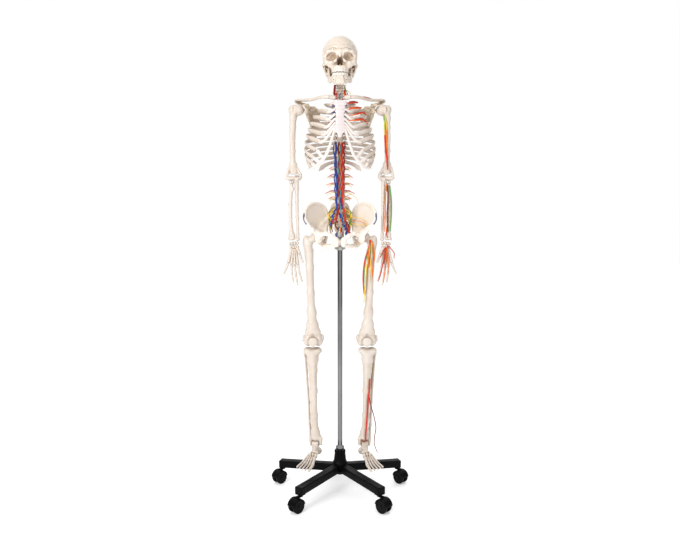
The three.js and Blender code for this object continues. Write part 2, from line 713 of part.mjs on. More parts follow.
function makePoleClamp() {
  const collar = post(0, 0, 950, 966, POLE.radius + 4, 12);
  const screws = [-1, 1].map((side) => join([
    bar([side * 12, 0, 958], [side * 18, 0, 958], 2.5, 2.5, 6),
    bar([side * 17, 0, 958], [side * 22, 0, 958], 4.5, 4.5, 8),
  ]));
  return join([collar, ...screws]).subtract(post(0, 0, 940, 980, POLE.radius + GAP, 14));
}

// A caster in its own frame: the stem is on the Z axis and the wheels trail towards -Y.
function makeCasterYoke() {
  const { radius, width, gauge, trail, hood, axle, stem } = CASTER;
  const rim = new THREE.Shape();
  rim.absarc(0, 0, hood, 0, Math.PI, false);
  rim.absarc(0, 0, radius + 0.7, Math.PI, 0, true);
  const span = gauge + 2 * width;
  const shell = new THREE.ExtrudeGeometry(rim, { depth: span, bevelEnabled: false, curveSegments: 5 });
  shell.translate(0, 0, -span / 2).rotateX(Math.PI / 2).rotateZ(Math.PI / 2).translate(0, -trail, radius);
  const web = block([0, -trail, radius + 8], [gauge - 1.4, 24, 36]);
  const lug = block([0, -9, 54], [14, 30, 5.4]);
  const stud = post(0, 0, 52, LEGS.bottom + 18, stem, 8);
  const bore = roller([0, -trail, radius], axle + 0.5, 60, 8);
  return join([solid(shell), web, lug, stud]).subtract(bore);
}

function makeCasterWheels() {
  const { radius, width, gauge, trail, axle } = CASTER;
  const offset = (gauge + width) / 2;
  const wheels = [-1, 1].map((side) => roller([side * offset, -trail, radius], radius, width, 12));
  return join([...wheels, roller([0, -trail, radius], axle, gauge + 2, 6)]);
}

// ---------------------------------------------------------------- vessels

function makeTrunkArteries() {
  const aorta = tube([[10, 4, 1374], [9, 1, 1300], [8, -1, 1200], [9, 0, 1135]], 5.5, 5);
  const left = tube([[9, 0, 1140], [22, 0, 1105], [34, -11, 1055], [38, -24, 1014]], 4.5, 4);
  const right = tube([[9, 0, 1140], [-8, -11, 1108], [-30, -14, 1060]], 4, 3);
  return join([aorta, left, right]);
}

function makeTrunkVeins() {
  const cava = tube([[-15, 5, 1376], [-15, 2, 1300], [-14, 0, 1200], [-15, 3, 1125]], 6.5, 5);
  const left = tube([[-14, 4, 1128], [4, 7, 1092], [18, 0, 1055], [25, -16, 1012]], 4, 4);
  const right = tube([[-15, 4, 1130], [-26, 4, 1095], [-40, -8, 1045]], 5, 3);
  return join([cava, left, right]);
}

function makeArmVessels() {
  return tube([[176, -9, 1478], [176, -7, 1400], [184, -6, 1310], [188, -6, 1272]], 3.5, 6);
}

function makeThighVessels() {
  return tube([[113, -16, 965], [98, -15, 910], [92, -13, 860], [92, -14, 800], [96, -17, 766]], 4, 6);
}

// ---------------------------------------------------------------- assembly

addMesh(skeleton, "cranium", makeCranium(), "bone");
addMesh(skeleton, "skull_cap", makeSkullCap(), "bone");
addMesh(skeleton, "mandible", makeMandible(), "bone");
addMesh(skeleton, "cervical_spine", makeCervical(), "bone");
addMesh(skeleton, "thoracic_spine", makeThoracic(), "bone");
addMesh(skeleton, "lumbar_spine", makeLumbar(), "bone");
addMesh(skeleton, "sacrum", makeSacrum(), "bone");
addMesh(skeleton, "sternum", makeSternum(), "cartilage");
addPair("hip_bone", makeHipBone(), "bone");
addPair("rib_cage", makeRibCage(), "bone");
addPair("rib_11", makeFloatingRib(10), "bone");
addPair("rib_12", makeFloatingRib(11), "bone");
addPair("scapula", makeScapula(), "bone");
addPair("clavicle", makeClavicle(), "bone");
addPair("shoulder_pin", makeLinkPin(SHOULDER, 36), "steel");
addPair("humerus", makeHumerus(), "bone");
addPair("ulna", makeUlna(), "bone");
addPair("radius", makeRadius(), "bone");
addPair("hand", makeHand(), "bone");
addPair("hip_pin", makeLinkPin(HIP, 34), "steel");
addPair("femur", makeFemur(), "bone");
addPair("patella", makePatella(), "bone");
addPair("tibia", makeTibia(), "bone");
addPair("fibula", makeFibula(), "bone");
addPair("foot", makeFoot(), "bone");
addMesh(skeleton, "star_base", makeStarBase(), "plastic");
addMesh(skeleton, "pole", makePole(), "chrome");
addMesh(skeleton, "pole_bracket", makePoleBracket(), "steel");
addMesh(skeleton, "pole_clamp", makePoleClamp(), "plastic");
addMesh(skeleton, "trunk_arteries", makeTrunkArteries(), "artery");
addMesh(skeleton, "trunk_veins", makeTrunkVeins(), "vein");
addMesh(skeleton, "left_arm_vessels", makeArmVessels(), "artery");
addMesh(skeleton, "left_thigh_vessels", makeThighVessels(), "artery");

for (let index = 0; index < LEGS.count; index += 1) {
  const caster = new THREE.Group();
  const angle = legAngle(index);
  caster.position.set(LEGS.stem * Math.cos(angle), LEGS.stem * Math.sin(angle), 0);
  caster.rotation.z = casterTurn(angle);
  addMesh(caster, `caster_yoke_${index + 1}`, makeCasterYoke(), "plastic");
  addMesh(caster, `caster_wheels_${index + 1}`, makeCasterWheels(), "tread");
  skeleton.add(caster);
}

export default skeleton;
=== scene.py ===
"""Looks for a life-size teaching skeleton on a wheeled stand. Shapes are in millimetres, meshes in metres."""

import json
import math

import bpy
import numpy as np
import openvdb
from mathutils import Matrix, Vector


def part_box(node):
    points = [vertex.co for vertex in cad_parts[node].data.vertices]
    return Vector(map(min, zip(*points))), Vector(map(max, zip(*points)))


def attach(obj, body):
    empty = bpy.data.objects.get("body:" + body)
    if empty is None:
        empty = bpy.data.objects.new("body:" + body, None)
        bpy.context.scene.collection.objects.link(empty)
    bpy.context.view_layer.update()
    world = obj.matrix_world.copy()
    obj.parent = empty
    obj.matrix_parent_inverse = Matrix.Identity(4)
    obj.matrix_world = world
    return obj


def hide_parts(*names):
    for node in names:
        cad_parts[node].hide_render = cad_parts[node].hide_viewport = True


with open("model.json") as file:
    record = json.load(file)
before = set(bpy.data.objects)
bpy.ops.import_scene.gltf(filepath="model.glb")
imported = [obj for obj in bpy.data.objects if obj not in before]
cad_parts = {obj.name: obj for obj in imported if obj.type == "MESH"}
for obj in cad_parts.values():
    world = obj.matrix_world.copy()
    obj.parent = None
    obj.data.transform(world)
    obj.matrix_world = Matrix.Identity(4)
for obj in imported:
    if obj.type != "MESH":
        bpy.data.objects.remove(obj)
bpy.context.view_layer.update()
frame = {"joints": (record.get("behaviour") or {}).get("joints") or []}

MM = 0.001
COARSE = 1.0
JOINTS = {joint["name"]: joint for joint in frame["joints"]}
UP = (0.0, 0.0, 1.0)
OUT = (1.0, 0.0, 0.0)
DEEP = (0.0, 1.0, 0.0)
# Half size of a block that cuts away everything on one side of a plane.
FAR = 200


def joint_mm(name):
    return np.array(JOINTS[name]["pos_m"]) / MM


def box_mm(node):
    low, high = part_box(node)
    return np.array(low) / MM, np.array(high) / MM


# ---------------------------------------------------------------- clay: shapes blended on a grid


def turned(angle_deg, axis):
    return np.array(Matrix.Rotation(math.radians(angle_deg), 3, axis))


UPRIGHT = turned(90, "Y")


def soft_min(first, second, soft):
    overlap = np.maximum(soft - np.abs(first - second), 0.0) / soft
    return np.minimum(first, second) - 0.25 * soft * overlap * overlap


def rod(start, end, start_radius, end_radius=None, wide=None, ratio=1.0):
    """A round-ended tapered rod. Its section is ratio times as wide along the wide direction."""
    a = np.array(start, float)
    axis = np.array(end, float) - a
    radii = (start_radius, start_radius if end_radius is None else end_radius)
    reach = max(radii) * max(ratio, 1.0)
    low = np.minimum(a, a + axis) - reach
    high = np.maximum(a, a + axis) + reach
    squash = 0.0 if wide is None else 1.0 / ratio - 1.0
    across = np.array(wide if wide is not None else UP, float)
    across = across / np.linalg.norm(across)

    def distance(x, y, z):
        px, py, pz = x - a[0], y - a[1], z - a[2]
        share = np.clip((px * axis[0] + py * axis[1] + pz * axis[2]) / (axis @ axis), 0.0, 1.0)
        px, py, pz = px - share * axis[0], py - share * axis[1], pz - share * axis[2]
        along = squash * (px * across[0] + py * across[1] + pz * across[2])
        px, py, pz = px + along * across[0], py + along * across[1], pz + along * across[2]
        return np.sqrt(px * px + py * py + pz * pz) - (radii[0] + share * (radii[1] - radii[0]))

    return low, high, distance


def own_axes(center, turn):
    """A shape's centre, and a function that gives places as distances along the shape's own three axes."""
    c = np.array(center, float)
    spin = np.eye(3) if turn is None else np.array(turn)

    def local(x, y, z):
        px, py, pz = x - c[0], y - c[1], z - c[2]
        return [spin[0, row] * px + spin[1, row] * py + spin[2, row] * pz for row in range(3)]

    return c, local


def egg(center, radii, turn=None):
    """An ellipsoid, turned by a 3 by 3 matrix if one is given."""
    c, local = own_axes(center, turn)
    r = np.array(radii, float)
    reach = r if turn is None else np.full(3, r.max())

    def distance(x, y, z):
        near, far = 0.0, 0.0
        for along, radius in zip(local(x, y, z), r):
            near = near + (along / radius) ** 2
            far = far + (along / radius ** 2) ** 2
        near, far = np.sqrt(near), np.sqrt(far) + 1e-9
        return near * (near - 1.0) / far

    return c - reach, c + reach, distance


def ball(center, radius):
    return egg(center, (radius, radius, radius))


def drum(center, half_width, half_depth, half_height, waist):
    """An upright oval drum whose sides curve in by waist at the middle of its height."""
    c = np.array(center, float)
    reach = np.array([half_width, half_depth, half_height], float)

    def distance(x, y, z):
        px, py, pz = (x - c[0]) / half_width, (y - c[1]) / half_depth, (z - c[2]) / half_height
        side = (np.sqrt(px * px + py * py) - 1.0) * half_depth + waist * np.clip(1.0 - pz * pz, 0.0, 1.0)
        return -soft_min(-side, -(np.abs(pz) - 1.0) * half_height, 2.0)

    return c - reach, c + reach, distance


def sheet(first, second, third, thickness):
    """A round-edged plate over a triangle."""
    a, b, c = (np.array(corner, float) for corner in (first, second, third))
    normal = np.cross(b - a, c - a)
    normal = normal / np.linalg.norm(normal)
    edges = [(a, b - a), (b, c - b), (c, a - c)]

    def distance(x, y, z):
        inside = True
        nearest = np.inf
        for corner, edge in edges:
            px, py, pz = x - corner[0], y - corner[1], z - corner[2]
            inward = np.cross(normal, edge)
            inside = inside & (px * inward[0] + py * inward[1] + pz * inward[2] > 0)
            share = np.clip((px * edge[0] + py * edge[1] + pz * edge[2]) / (edge @ edge), 0.0, 1.0)
            px, py, pz = px - share * edge[0], py - share * edge[1], pz - share * edge[2]
            nearest = np.minimum(nearest, px * px + py * py + pz * pz)
        plane = (x - a[0]) * normal[0] + (y - a[1]) * normal[1] + (z - a[2]) * normal[2]
        return np.where(inside, np.abs(plane), np.sqrt(nearest)) - thickness / 2

    corners = np.array([a, b, c])
    return corners.min(0) - thickness, corners.max(0) + thickness, distance


def block(center, half, turn=None):
    """A box, turned by a 3 by 3 matrix if one is given."""
    c, local = own_axes(center, turn)
    h = np.array(half, float)
    reach = h if turn is None else np.full(3, np.linalg.norm(h))

    def distance(x, y, z):
        outside, inside = 0.0, -np.inf
        for along, half_side in zip(local(x, y, z), h):
            beyond = np.abs(along) - half_side
            outside = outside + np.maximum(beyond, 0.0) ** 2
            inside = np.maximum(inside, beyond)
        return np.sqrt(outside) + np.minimum(inside, 0.0)

    return c - reach, c + reach, distance


def pad(center, half, rounding, turn=None):
    """A block with rounded edges."""
    inner = np.array(half, float) - rounding
    low, high, distance = block(center, inner, turn)
    return low - rounding, high + rounding, lambda x, y, z: distance(x, y, z) - rounding


def reel(center, radius, half_length, turn=None):
    """A flat-ended cylinder along X, turned by a 3 by 3 matrix if one is given."""
    c, local = own_axes(center, turn)
    reach = np.full(3, math.hypot(radius, half_length))

    def distance(x, y, z):
        along, beside, above = local(x, y, z)
        side = np.sqrt(beside ** 2 + above ** 2) - radius
        end = np.abs(along) - half_length
        outside = np.sqrt(np.maximum(side, 0) ** 2 + np.maximum(end, 0) ** 2)
        return outside + np.minimum(np.maximum(side, end), 0.0)

    return c - reach, c + reach, distance


def stroke(points, radii, wide=None, ratio=1.0):
    """Rods through a list of points."""
    pairs = zip(points[:-1], points[1:], radii[:-1], radii[1:])
    return [rod(a, b, start, end, wide, ratio) for a, b, start, end in pairs]


def as_list(shapes):
    return shapes if isinstance(shapes, list) else [shapes]


def blurred(field, times):
    """The field averaged with its neighbours along each axis, a number of times."""
    for _ in range(times):
        for axis in range(3):
            field = (field + 0.5 * (np.roll(field, 1, axis) + np.roll(field, -1, axis))) / 2
    return field


def sided(side, points):
    """Points given for the left side, kept there for side 1 and mirrored to the right for side -1."""
    return [(x * side, y, z) for x, y, z in points]


class Clay:
    """A grid of distances, around an origin, that shapes are blended into and carved from."""

    def __init__(self, low, high, cell, soft=4.0, origin=(0, 0, 0)):
        self.origin = np.array(origin, float)
        self.cell = cell * COARSE
        self.low = np.array(low, float)
        counts = np.ceil((np.array(high, float) - self.low) / self.cell).astype(int) + 1
        self.soft = soft
        self.margin = 4 * self.cell + soft
        self.field = np.full(counts, 2 * self.margin, np.float32)

    def window(self, low, high):
        """The part of the grid that a shape with these corners can reach, and its places."""
        first = np.floor((np.array(low) - self.margin - self.low) / self.cell).astype(int)
        last = np.ceil((np.array(high) + self.margin - self.low) / self.cell).astype(int) + 1
        first, last = np.maximum(first, 0), np.minimum(last, self.field.shape)
        spans = [np.arange(a, b) * self.cell + low for a, b, low in zip(first, last, self.low)]
        grids = np.meshgrid(*spans, indexing="ij", sparse=True)
        return tuple(slice(a, b) for a, b in zip(first, last)), grids

    def add(self, shapes, soft=None):
        soft = self.soft if soft is None else soft
        for low, high, distance in as_list(shapes):
            place, grids = self.window(low, high)
            self.field[place] = soft_min(self.field[place], distance(*grids), soft)

    def carve(self, shapes, soft=1.5):
        for low, high, distance in as_list(shapes):
            place, grids = self.window(low, high)
            self.field[place] = -soft_min(-self.field[place], distance(*grids), soft)

    def copy(self):
        twin = object.__new__(Clay)
        twin.__dict__.update(self.__dict__)
        twin.field = self.field.copy()
        return twin

    def emptied(self):
        """A clay on the same grid with nothing in it yet."""
        twin = self.copy()
        twin.field[:] = 2 * self.margin
        return twin

    def merge(self, other):
        """Joins the other clay, on the same grid, without blending the two."""
        self.field = np.minimum(self.field, other.field)

    def mesh(self, name, material):
        """The clay's surface as a piece. Its hollow value is the bend of the surface, positive in hollows."""
        limit = 3 * self.cell
        grid = openvdb.FloatGrid(background=limit)
        near = np.clip(self.field, -limit, limit)
        for axis in range(3):
            edge = [slice(None)] * 3
            for end in (0, -1):
                edge[axis] = end
                near[tuple(edge)] = limit
        grid.copyFromArray(near)
        points, quads = grid.convertToQuads(isovalue=0.0)
        bend = blurred(near, 2) - near
        index = np.clip(np.rint(points).astype(int), 0, np.array(near.shape) - 1)
        hollow = -bend[index[:, 0], index[:, 1], index[:, 2]] / self.cell
        places = (points * self.cell + self.low + self.origin) * MM
        return make_piece(name, places, quads, material, hollow)


# ---------------------------------------------------------------- pieces


def make_piece(name, places, faces, material, hollow=None):
    """A smooth-shaded mesh of one material, from places in metres."""
    mesh = bpy.data.meshes.new(name)
    mesh.from_pydata(np.asarray(places).tolist(), [], [list(face) for face in faces])
    attribute = mesh.attributes.new("hollow", "FLOAT", "POINT")
    values = np.zeros(len(mesh.vertices)) if hollow is None else hollow
    attribute.data.foreach_set("value", np.asarray(values, np.float32))
    mesh.polygons.foreach_set("use_smooth", np.ones(len(mesh.polygons), bool))
    mesh.materials.append(material)
    mesh.update()
    piece = bpy.data.objects.new(name, mesh)
    bpy.context.scene.collection.objects.link(piece)
    return piece


def mesh_arrays(piece):
    mesh = piece.data
    places = np.empty(3 * len(mesh.vertices), np.float32)
    mesh.vertices.foreach_get("co", places)
    hollow = np.empty(len(mesh.vertices), np.float32)
    mesh.attributes["hollow"].data.foreach_get("value", hollow)
    return places.reshape(-1, 3), [list(face.vertices) for face in mesh.polygons], hollow


def transformed(piece, name, change):
    """A copy of a piece whose places go through change, a function of an n by 3 array of metres."""
    places, faces, hollow = mesh_arrays(piece)
    return make_piece(name, change(places), faces, piece.data.materials[0], hollow)


def mirrored(piece, name):
    places, faces, hollow = mesh_arrays(piece)
    flipped = [face[::-1] for face in faces]
    return make_piece(name, places * np.array([-1.0, 1.0, 1.0]), flipped, piece.data.materials[0], hollow)


def settle(piece, body, nodes=()):
    """Rides a piece on its body and hides the CAD nodes it stands for."""
    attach(piece, body)
    if nodes:
        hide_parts(*nodes)


def pair(piece, base, body, node=None):
    """Settles a left-side piece and its mirror image on the right. The names end in the side."""
    for side, item in (("left", piece), ("right", mirrored(piece, f"{base}_right"))):
        rider = body if body in ("root", "skull", "jaw") else f"{body}_{side}"
        settle(item, rider, (f"{node}_{side}",) if node else ())


def smooth_line(points, count):
    """Points along a Catmull-Rom curve through the given ones, as an array of millimetres."""
    knots = np.array(points, float)
    ends = np.vstack([2 * knots[0] - knots[1], knots, 2 * knots[-1] - knots[-2]])
    places = np.linspace(0, len(knots) - 1, count)
    spans = np.minimum(places.astype(int), len(knots) - 2)
    t = (places - spans)[:, None]
    p0, p1, p2, p3 = (ends[spans + shift] for shift in range(4))
    linear, square = p2 - p0, 2 * p0 - 5 * p1 + 4 * p2 - p3
    return 0.5 * (2 * p1 + linear * t + square * t * t + (3 * p1 - p0 - 3 * p2 + p3) * t ** 3)


def sweep(name, points, radii, material, sides=12, wide=None, ratio=None, rings=None):
    """A smooth round-ended tube. ratio widens its section along the direction wide, and may vary along it."""
    rings = rings or max(8, 5 * len(points))
    line = smooth_line(points, rings)
    shares = np.linspace(0, 1, rings)
    radius = np.interp(shares, np.linspace(0, 1, len(radii)), radii)
    ratio = (1.0,) if ratio is None else ratio
    widths = np.interp(shares, np.linspace(0, 1, len(ratio)), ratio)
    forward = np.gradient(line, axis=0)
    forward /= np.linalg.norm(forward, axis=1)[:, None]
    if wide is None:
        across = carried_frame(forward)
    else:
        across = np.array(wide, float) - forward * (forward @ np.array(wide, float))[:, None]
        across /= np.linalg.norm(across, axis=1)[:, None]
    beside = np.cross(forward, across)
    line, radius, widths, across, beside = rounded_ends(line, radius, widths, across, beside, forward)
    angles = np.linspace(0, 2 * np.pi, sides, endpoint=False)
    circle = across[:, None] * (np.cos(angles) * (radius * widths)[:, None])[..., None]
    circle = circle + beside[:, None] * (np.sin(angles) * radius[:, None])[..., None]
    places = (line[:, None] + circle).reshape(-1, 3)
    faces = tube_faces(len(line), sides)
    return make_piece(name, places * MM, faces, material)


def carried_frame(forward):
    """A direction across each step of a curve, carried along with as little twist as possible."""
    start = np.eye(3)[np.argmin(np.abs(forward[0]))]
    across = np.empty_like(forward)
    for index, heading in enumerate(forward):
        start = start - heading * (start @ heading)
        start = start / np.linalg.norm(start)
        across[index] = start
    return across


def rounded_ends(line, radius, widths, across, beside, forward):
    """Adds shrinking rings beyond both ends of a tube, so that it closes in a dome."""
    turns = np.radians([70, 45, 20])
    shrink = np.cos(turns)
    first = line[0] - forward[0] * (np.sin(turns) * radius[0])[:, None]
    last = line[-1] + forward[-1] * (np.sin(turns[::-1]) * radius[-1])[:, None]
    line = np.vstack([first, line, last])
    widths = np.concatenate([np.full(3, widths[0]), widths, np.full(3, widths[-1])])
    across = np.vstack([[across[0]] * 3, across, [across[-1]] * 3])
    beside = np.vstack([[beside[0]] * 3, beside, [beside[-1]] * 3])
    radius = np.concatenate([radius[0] * shrink, radius, radius[-1] * shrink[::-1]])
    return line, radius, widths, across, beside


def tube_faces(rings, sides):
    faces = []
    for ring in range(rings - 1):
        for side in range(sides):
            after = (side + 1) % sides
            low, high = ring * sides, (ring + 1) * sides
            faces.append([low + side, low + after, high + after, high + side])
    faces.append(list(range(sides))[::-1])
    faces.append([(rings - 1) * sides + side for side in range(sides)])
    return faces


def joined(pieces, name):
    """One piece from several, with the first one's material slots kept in order."""
    places, faces, hollows, slots = [], [], [], []
    materials = []
    start = 0
    for piece in pieces:
        spots, sides, hollow = mesh_arrays(piece)
        material = piece.data.materials[0]
        if material not in materials:
            materials.append(material)
        places.append(spots)
        hollows.append(hollow)
        faces += [[start + corner for corner in face] for face in sides]
        slots += [materials.index(material)] * len(sides)
        start += len(spots)
        bpy.data.objects.remove(piece)
    whole = make_piece(name, np.vstack(places), faces, materials[0], np.concatenate(hollows))
    for material in materials[1:]:
        whole.data.materials.append(material)
    whole.data.polygons.foreach_set("material_index", np.array(slots, np.int32))
    return whole


# ---------------------------------------------------------------- materials


class Surface:
    """A Principled material with helpers to wire procedural detail into it."""

    def __init__(self, name, roughness, metallic=0.0, coat=0.0):
        self.material = bpy.data.materials.new(name)
        self.material.use_nodes = True
        self.tree = self.material.node_tree
        self.shader = self.tree.nodes["Principled BSDF"]
        self.shader.inputs["Roughness"].default_value = roughness
        self.shader.inputs["Metallic"].default_value = metallic
        self.shader.inputs["Coat Weight"].default_value = coat
        self.place = self.add("ShaderNodeTexCoord").outputs["Object"]

    def add(self, kind, **settings):
        node = self.tree.nodes.new(kind)
        for key, value in settings.items():
            setattr(node, key, value)
        return node

    def link(self, source, target):
        self.tree.links.new(source, target)

    def noise(self, scale, detail=4.0, stretch=None):
        texture = self.add("ShaderNodeTexNoise")
        texture.inputs["Scale"].default_value = scale
        texture.inputs["Detail"].default_value = detail
        texture.inputs["Roughness"].default_value = 0.55
        source = self.place
        if stretch:
            mapping = self.add("ShaderNodeMapping")
            mapping.inputs["Scale"].default_value = stretch
            self.link(self.place, mapping.inputs["Vector"])
            source = mapping.outputs["Vector"]
        self.link(source, texture.inputs["Vector"])
        return texture.outputs["Fac"]

    def ranged(self, source, low, high, start=0.0, end=1.0):
        node = self.add("ShaderNodeMapRange", clamp=True)
        self.link(source, node.inputs["Value"])
        for key, value in (("From Min", low), ("From Max", high), ("To Min", start), ("To Max", end)):
            node.inputs[key].default_value = value
        return node.outputs["Result"]

    def mixed(self, factor, first, second):
        """Mixes two colours, each a tuple or an output, by a factor output."""
        node = self.add("ShaderNodeMix", data_type="RGBA")
        self.link(factor, node.inputs["Factor"])
        for socket, value in ((node.inputs[6], first), (node.inputs[7], second)):
            if isinstance(value, tuple):
                socket.default_value = (*value, 1.0)
            else:
                self.link(value, socket)
        return node.outputs[2]

    def attribute(self, name):
        return self.add("ShaderNodeAttribute", attribute_name=name).outputs["Fac"]

    def color(self, output):
        self.link(output, self.shader.inputs["Base Color"])

    def rough(self, source, low, high):
        self.link(self.ranged(source, 0.3, 0.7, low, high), self.shader.inputs["Roughness"])

    def bump(self, heights, distance):
        """Stacks height outputs, each with its strength, into the surface normal."""
        normal = None
        for height, strength in heights:
            node = self.add("ShaderNodeBump")
            node.inputs["Strength"].default_value = strength
            node.inputs["Distance"].default_value = distance
            self.link(height, node.inputs["Height"])
            if normal is not None:
                self.link(normal, node.inputs["Normal"])
            normal = node.outputs["Normal"]
        self.link(normal, self.shader.inputs["Normal"])


# Painted shade: the dark brown of the deepest hollows.
DEEP_SHADE_BROWN = (0.12, 0.07, 0.04)
# Noise scales on bone, from the largest features to the smallest.
PATCHES, GLOSS_PATCHES, STREAKS, GRAIN, PORES = 14.0, 35.0, 60.0, 120.0, 420.0
# Stretches the noise into streaks along the height.
UPRIGHT_STREAKS, UPRIGHT_GRAIN, DRAWN = (1.0, 1.0, 0.25), (1.0, 1.0, 0.3), (1.0, 1.0, 0.04)
# Metres: how near a neighbour must come to paint shade on a bone, and the depth of coarse and fine relief.
PAINTED_SHADE_REACH = 0.03
COARSE_RELIEF, FINE_RELIEF = 0.0006, 0.0003


def bone_material(name, light, warm, recess_shade, gloss=0.36):
    """Cast ivory plastic: mottled cream, warmer in patches, painted tan shade where the surface is hollow or
    near other surfaces, painted dark brown shade in the deepest hollows and a painted highlight on ridges.
    """
    surface = Surface(name, gloss)
    patches = surface.ranged(surface.noise(PATCHES), 0.38, 0.66)
    mottled = surface.mixed(patches, light, warm)
    streaks = surface.ranged(surface.noise(STREAKS, stretch=UPRIGHT_STREAKS), 0.5, 0.75, 0.0, 0.35)
    mottled = surface.mixed(streaks, mottled, warm)
    # Painted shade: an ambient-occlusion node mixes tan into the colour where other surfaces come near.
    occlusion_shade = surface.add("ShaderNodeAmbientOcclusion", samples=6)
    occlusion_shade.inputs["Distance"].default_value = PAINTED_SHADE_REACH
    mottled = surface.mixed(surface.ranged(occlusion_shade.outputs["AO"], 0.2, 0.95, 0.95, 0.0), mottled, recess_shade)
    hollow = surface.attribute("hollow")
    # Painted shade: tan where the surface bends inward, and in the painted-shade spots.
    hollow_shaded = surface.mixed(surface.ranged(hollow, 0.015, 0.16, 0.0, 0.85), mottled, recess_shade)
    # Painted highlight: a paler cream on ridges, where the surface bends outward.
    ridge_highlight = tuple(min(1.0, 1.06 * value) for value in light)
    ridge_lit = surface.mixed(surface.ranged(hollow, -0.03, -0.16, 0.0, 0.5), hollow_shaded, ridge_highlight)
    # Painted shade: dark brown where the surface is most hollow.
    surface.color(surface.mixed(surface.ranged(hollow, 0.4, 0.9), ridge_lit, DEEP_SHADE_BROWN))
    surface.rough(surface.noise(GLOSS_PATCHES), gloss - 0.08, gloss + 0.1)
    pores = surface.noise(PORES, detail=2.0)
    grain = surface.noise(GRAIN, stretch=UPRIGHT_GRAIN)
    surface.bump([(grain, 0.22), (pores, 0.12)], COARSE_RELIEF)
    return surface.material


def painted_material(name, main, shade):
    """Glossy hand-painted rubber: uneven colour with a brushed surface."""
    surface = Surface(name, 0.35, coat=0.08)
    surface.shader.inputs["Specular IOR Level"].default_value = 0.25
    surface.color(surface.mixed(surface.ranged(surface.noise(60.0), 0.35, 0.7), main, shade))
    surface.rough(surface.noise(90.0), 0.28, 0.48)
    surface.bump([(surface.noise(220.0, stretch=UPRIGHT_GRAIN), 0.25)], COARSE_RELIEF)
    return surface.material


def plastic_material(name, color, grain_scale, low, high):
    """Moulded black plastic with a fine spark-eroded grain and faint handling marks."""
    surface = Surface(name, low)
    surface.shader.inputs["Specular IOR Level"].default_value = 0.07
    lighter = tuple(2.0 * value + 0.001 for value in color)
    surface.color(surface.mixed(surface.ranged(surface.noise(9.0), 0.45, 0.75), color, lighter))
    surface.rough(surface.noise(22.0), low, high)
    surface.bump([(surface.noise(grain_scale, detail=2.0), 0.3)], FINE_RELIEF)
    return surface.material


def metal_material(name, color, low, high, scratch):
    """Metal with a light drawn texture along its length and smudges in its polish."""
    surface = Surface(name, low, metallic=1.0)
    darker = tuple(0.8 * value for value in color)
    surface.color(surface.mixed(surface.ranged(surface.noise(16.0), 0.4, 0.8), color, darker))
    surface.rough(surface.noise(30.0), low, high)
    surface.bump([(surface.noise(scratch, stretch=DRAWN), 0.05)], FINE_RELIEF)
    return surface.material


BONE = bone_material("bone", (0.66, 0.59, 0.525), (0.61, 0.52, 0.44), (0.25, 0.155, 0.08))
SKULL_BONE = bone_material("skull_bone", (0.72, 0.64, 0.56), (0.66, 0.56, 0.47), (0.38, 0.26, 0.16))
# A lighter copy of bone: it paints light on the neck vertebrae and hip bones, which would otherwise sit
# darker in shade.
LIT_BONE = bone_material("lit_bone", (0.84, 0.77, 0.69), (0.80, 0.71, 0.61), (0.56, 0.43, 0.31))
SHADED_BONE = bone_material("shaded_bone", (0.62, 0.52, 0.40), (0.54, 0.43, 0.30), (0.24, 0.15, 0.08))
TEETH = bone_material("teeth", (0.86, 0.84, 0.79), (0.82, 0.78, 0.70), (0.36, 0.26, 0.17), 0.22)
CARTILAGE = bone_material("cartilage", (0.76, 0.70, 0.66), (0.71, 0.63, 0.58), (0.40, 0.30, 0.23), 0.36)
WHITE_BONE = bone_material("white_bone", (0.69, 0.62, 0.62), (0.65, 0.57, 0.56), (0.42, 0.33, 0.28), 0.34)
DISC = bone_material("disc", (0.58, 0.52, 0.44), (0.50, 0.43, 0.34), (0.26, 0.19, 0.12), 0.5)
CHROME = metal_material("chrome", (0.22, 0.22, 0.225), 0.04, 0.1, 300.0)
STEEL = metal_material("steel", (0.48, 0.47, 0.45), 0.28, 0.42, 500.0)
BLACK = plastic_material("black_plastic", (0.0015, 0.0015, 0.0016), 900.0, 0.38, 0.55)
TREAD = plastic_material("wheel_plastic", (0.0025, 0.0025, 0.0026), 1500.0, 0.35, 0.5)
RED = painted_material("red_vessel", (0.62, 0.035, 0.015), (0.45, 0.02, 0.01))
ORANGE = painted_material("orange_vessel", (0.80, 0.18, 0.02), (0.70, 0.11, 0.015))
DARK_RED = painted_material("dark_red_vessel", (0.24, 0.015, 0.012), (0.15, 0.01, 0.01))
BLUE = painted_material("blue_vessel", (0.015, 0.05, 0.32), (0.01, 0.035, 0.2))
YELLOW = painted_material("yellow_nerve", (0.86, 0.60, 0.04), (0.78, 0.48, 0.03))
TEAL = painted_material("teal_vessel", (0.03, 0.26, 0.26), (0.02, 0.18, 0.2))
SLATE = painted_material("slate_strip", (0.10, 0.13, 0.22), (0.07, 0.085, 0.15))
BROWN = painted_material("brown_vessel", (0.28, 0.17, 0.05), (0.34, 0.27, 0.08))
GREEN = painted_material("green_vessel", (0.10, 0.34, 0.04), (0.07, 0.25, 0.03))


def bone_pair(clay, node, body, material=BONE):
    """Settles a clay as the left one of a pair of bones, and its mirror image as the right one."""
    pair(clay.mesh(f"{node}_left", material), node, body, node)


# ---------------------------------------------------------------- head

JAW = joint_mm("jaw_open")
CAP_CUT = box_mm("skull_cap")[0][2] - JAW[2]
CUT_GAP = 0.2
ORBIT, ORBIT_RADII = (33.0, -76.0, 23.0), (20.5, 21, 16)
NOSE_Y = -82.0
UPPER_RIDGE, LOWER_RIDGE = -19.0, -51.0
BRAIN_SPACE = [egg((0, 14, 72), (62, 61, 42)), egg((0, -8, 70), (54, 59, 38)), egg((0, 40, 30), (50, 44, 40))]


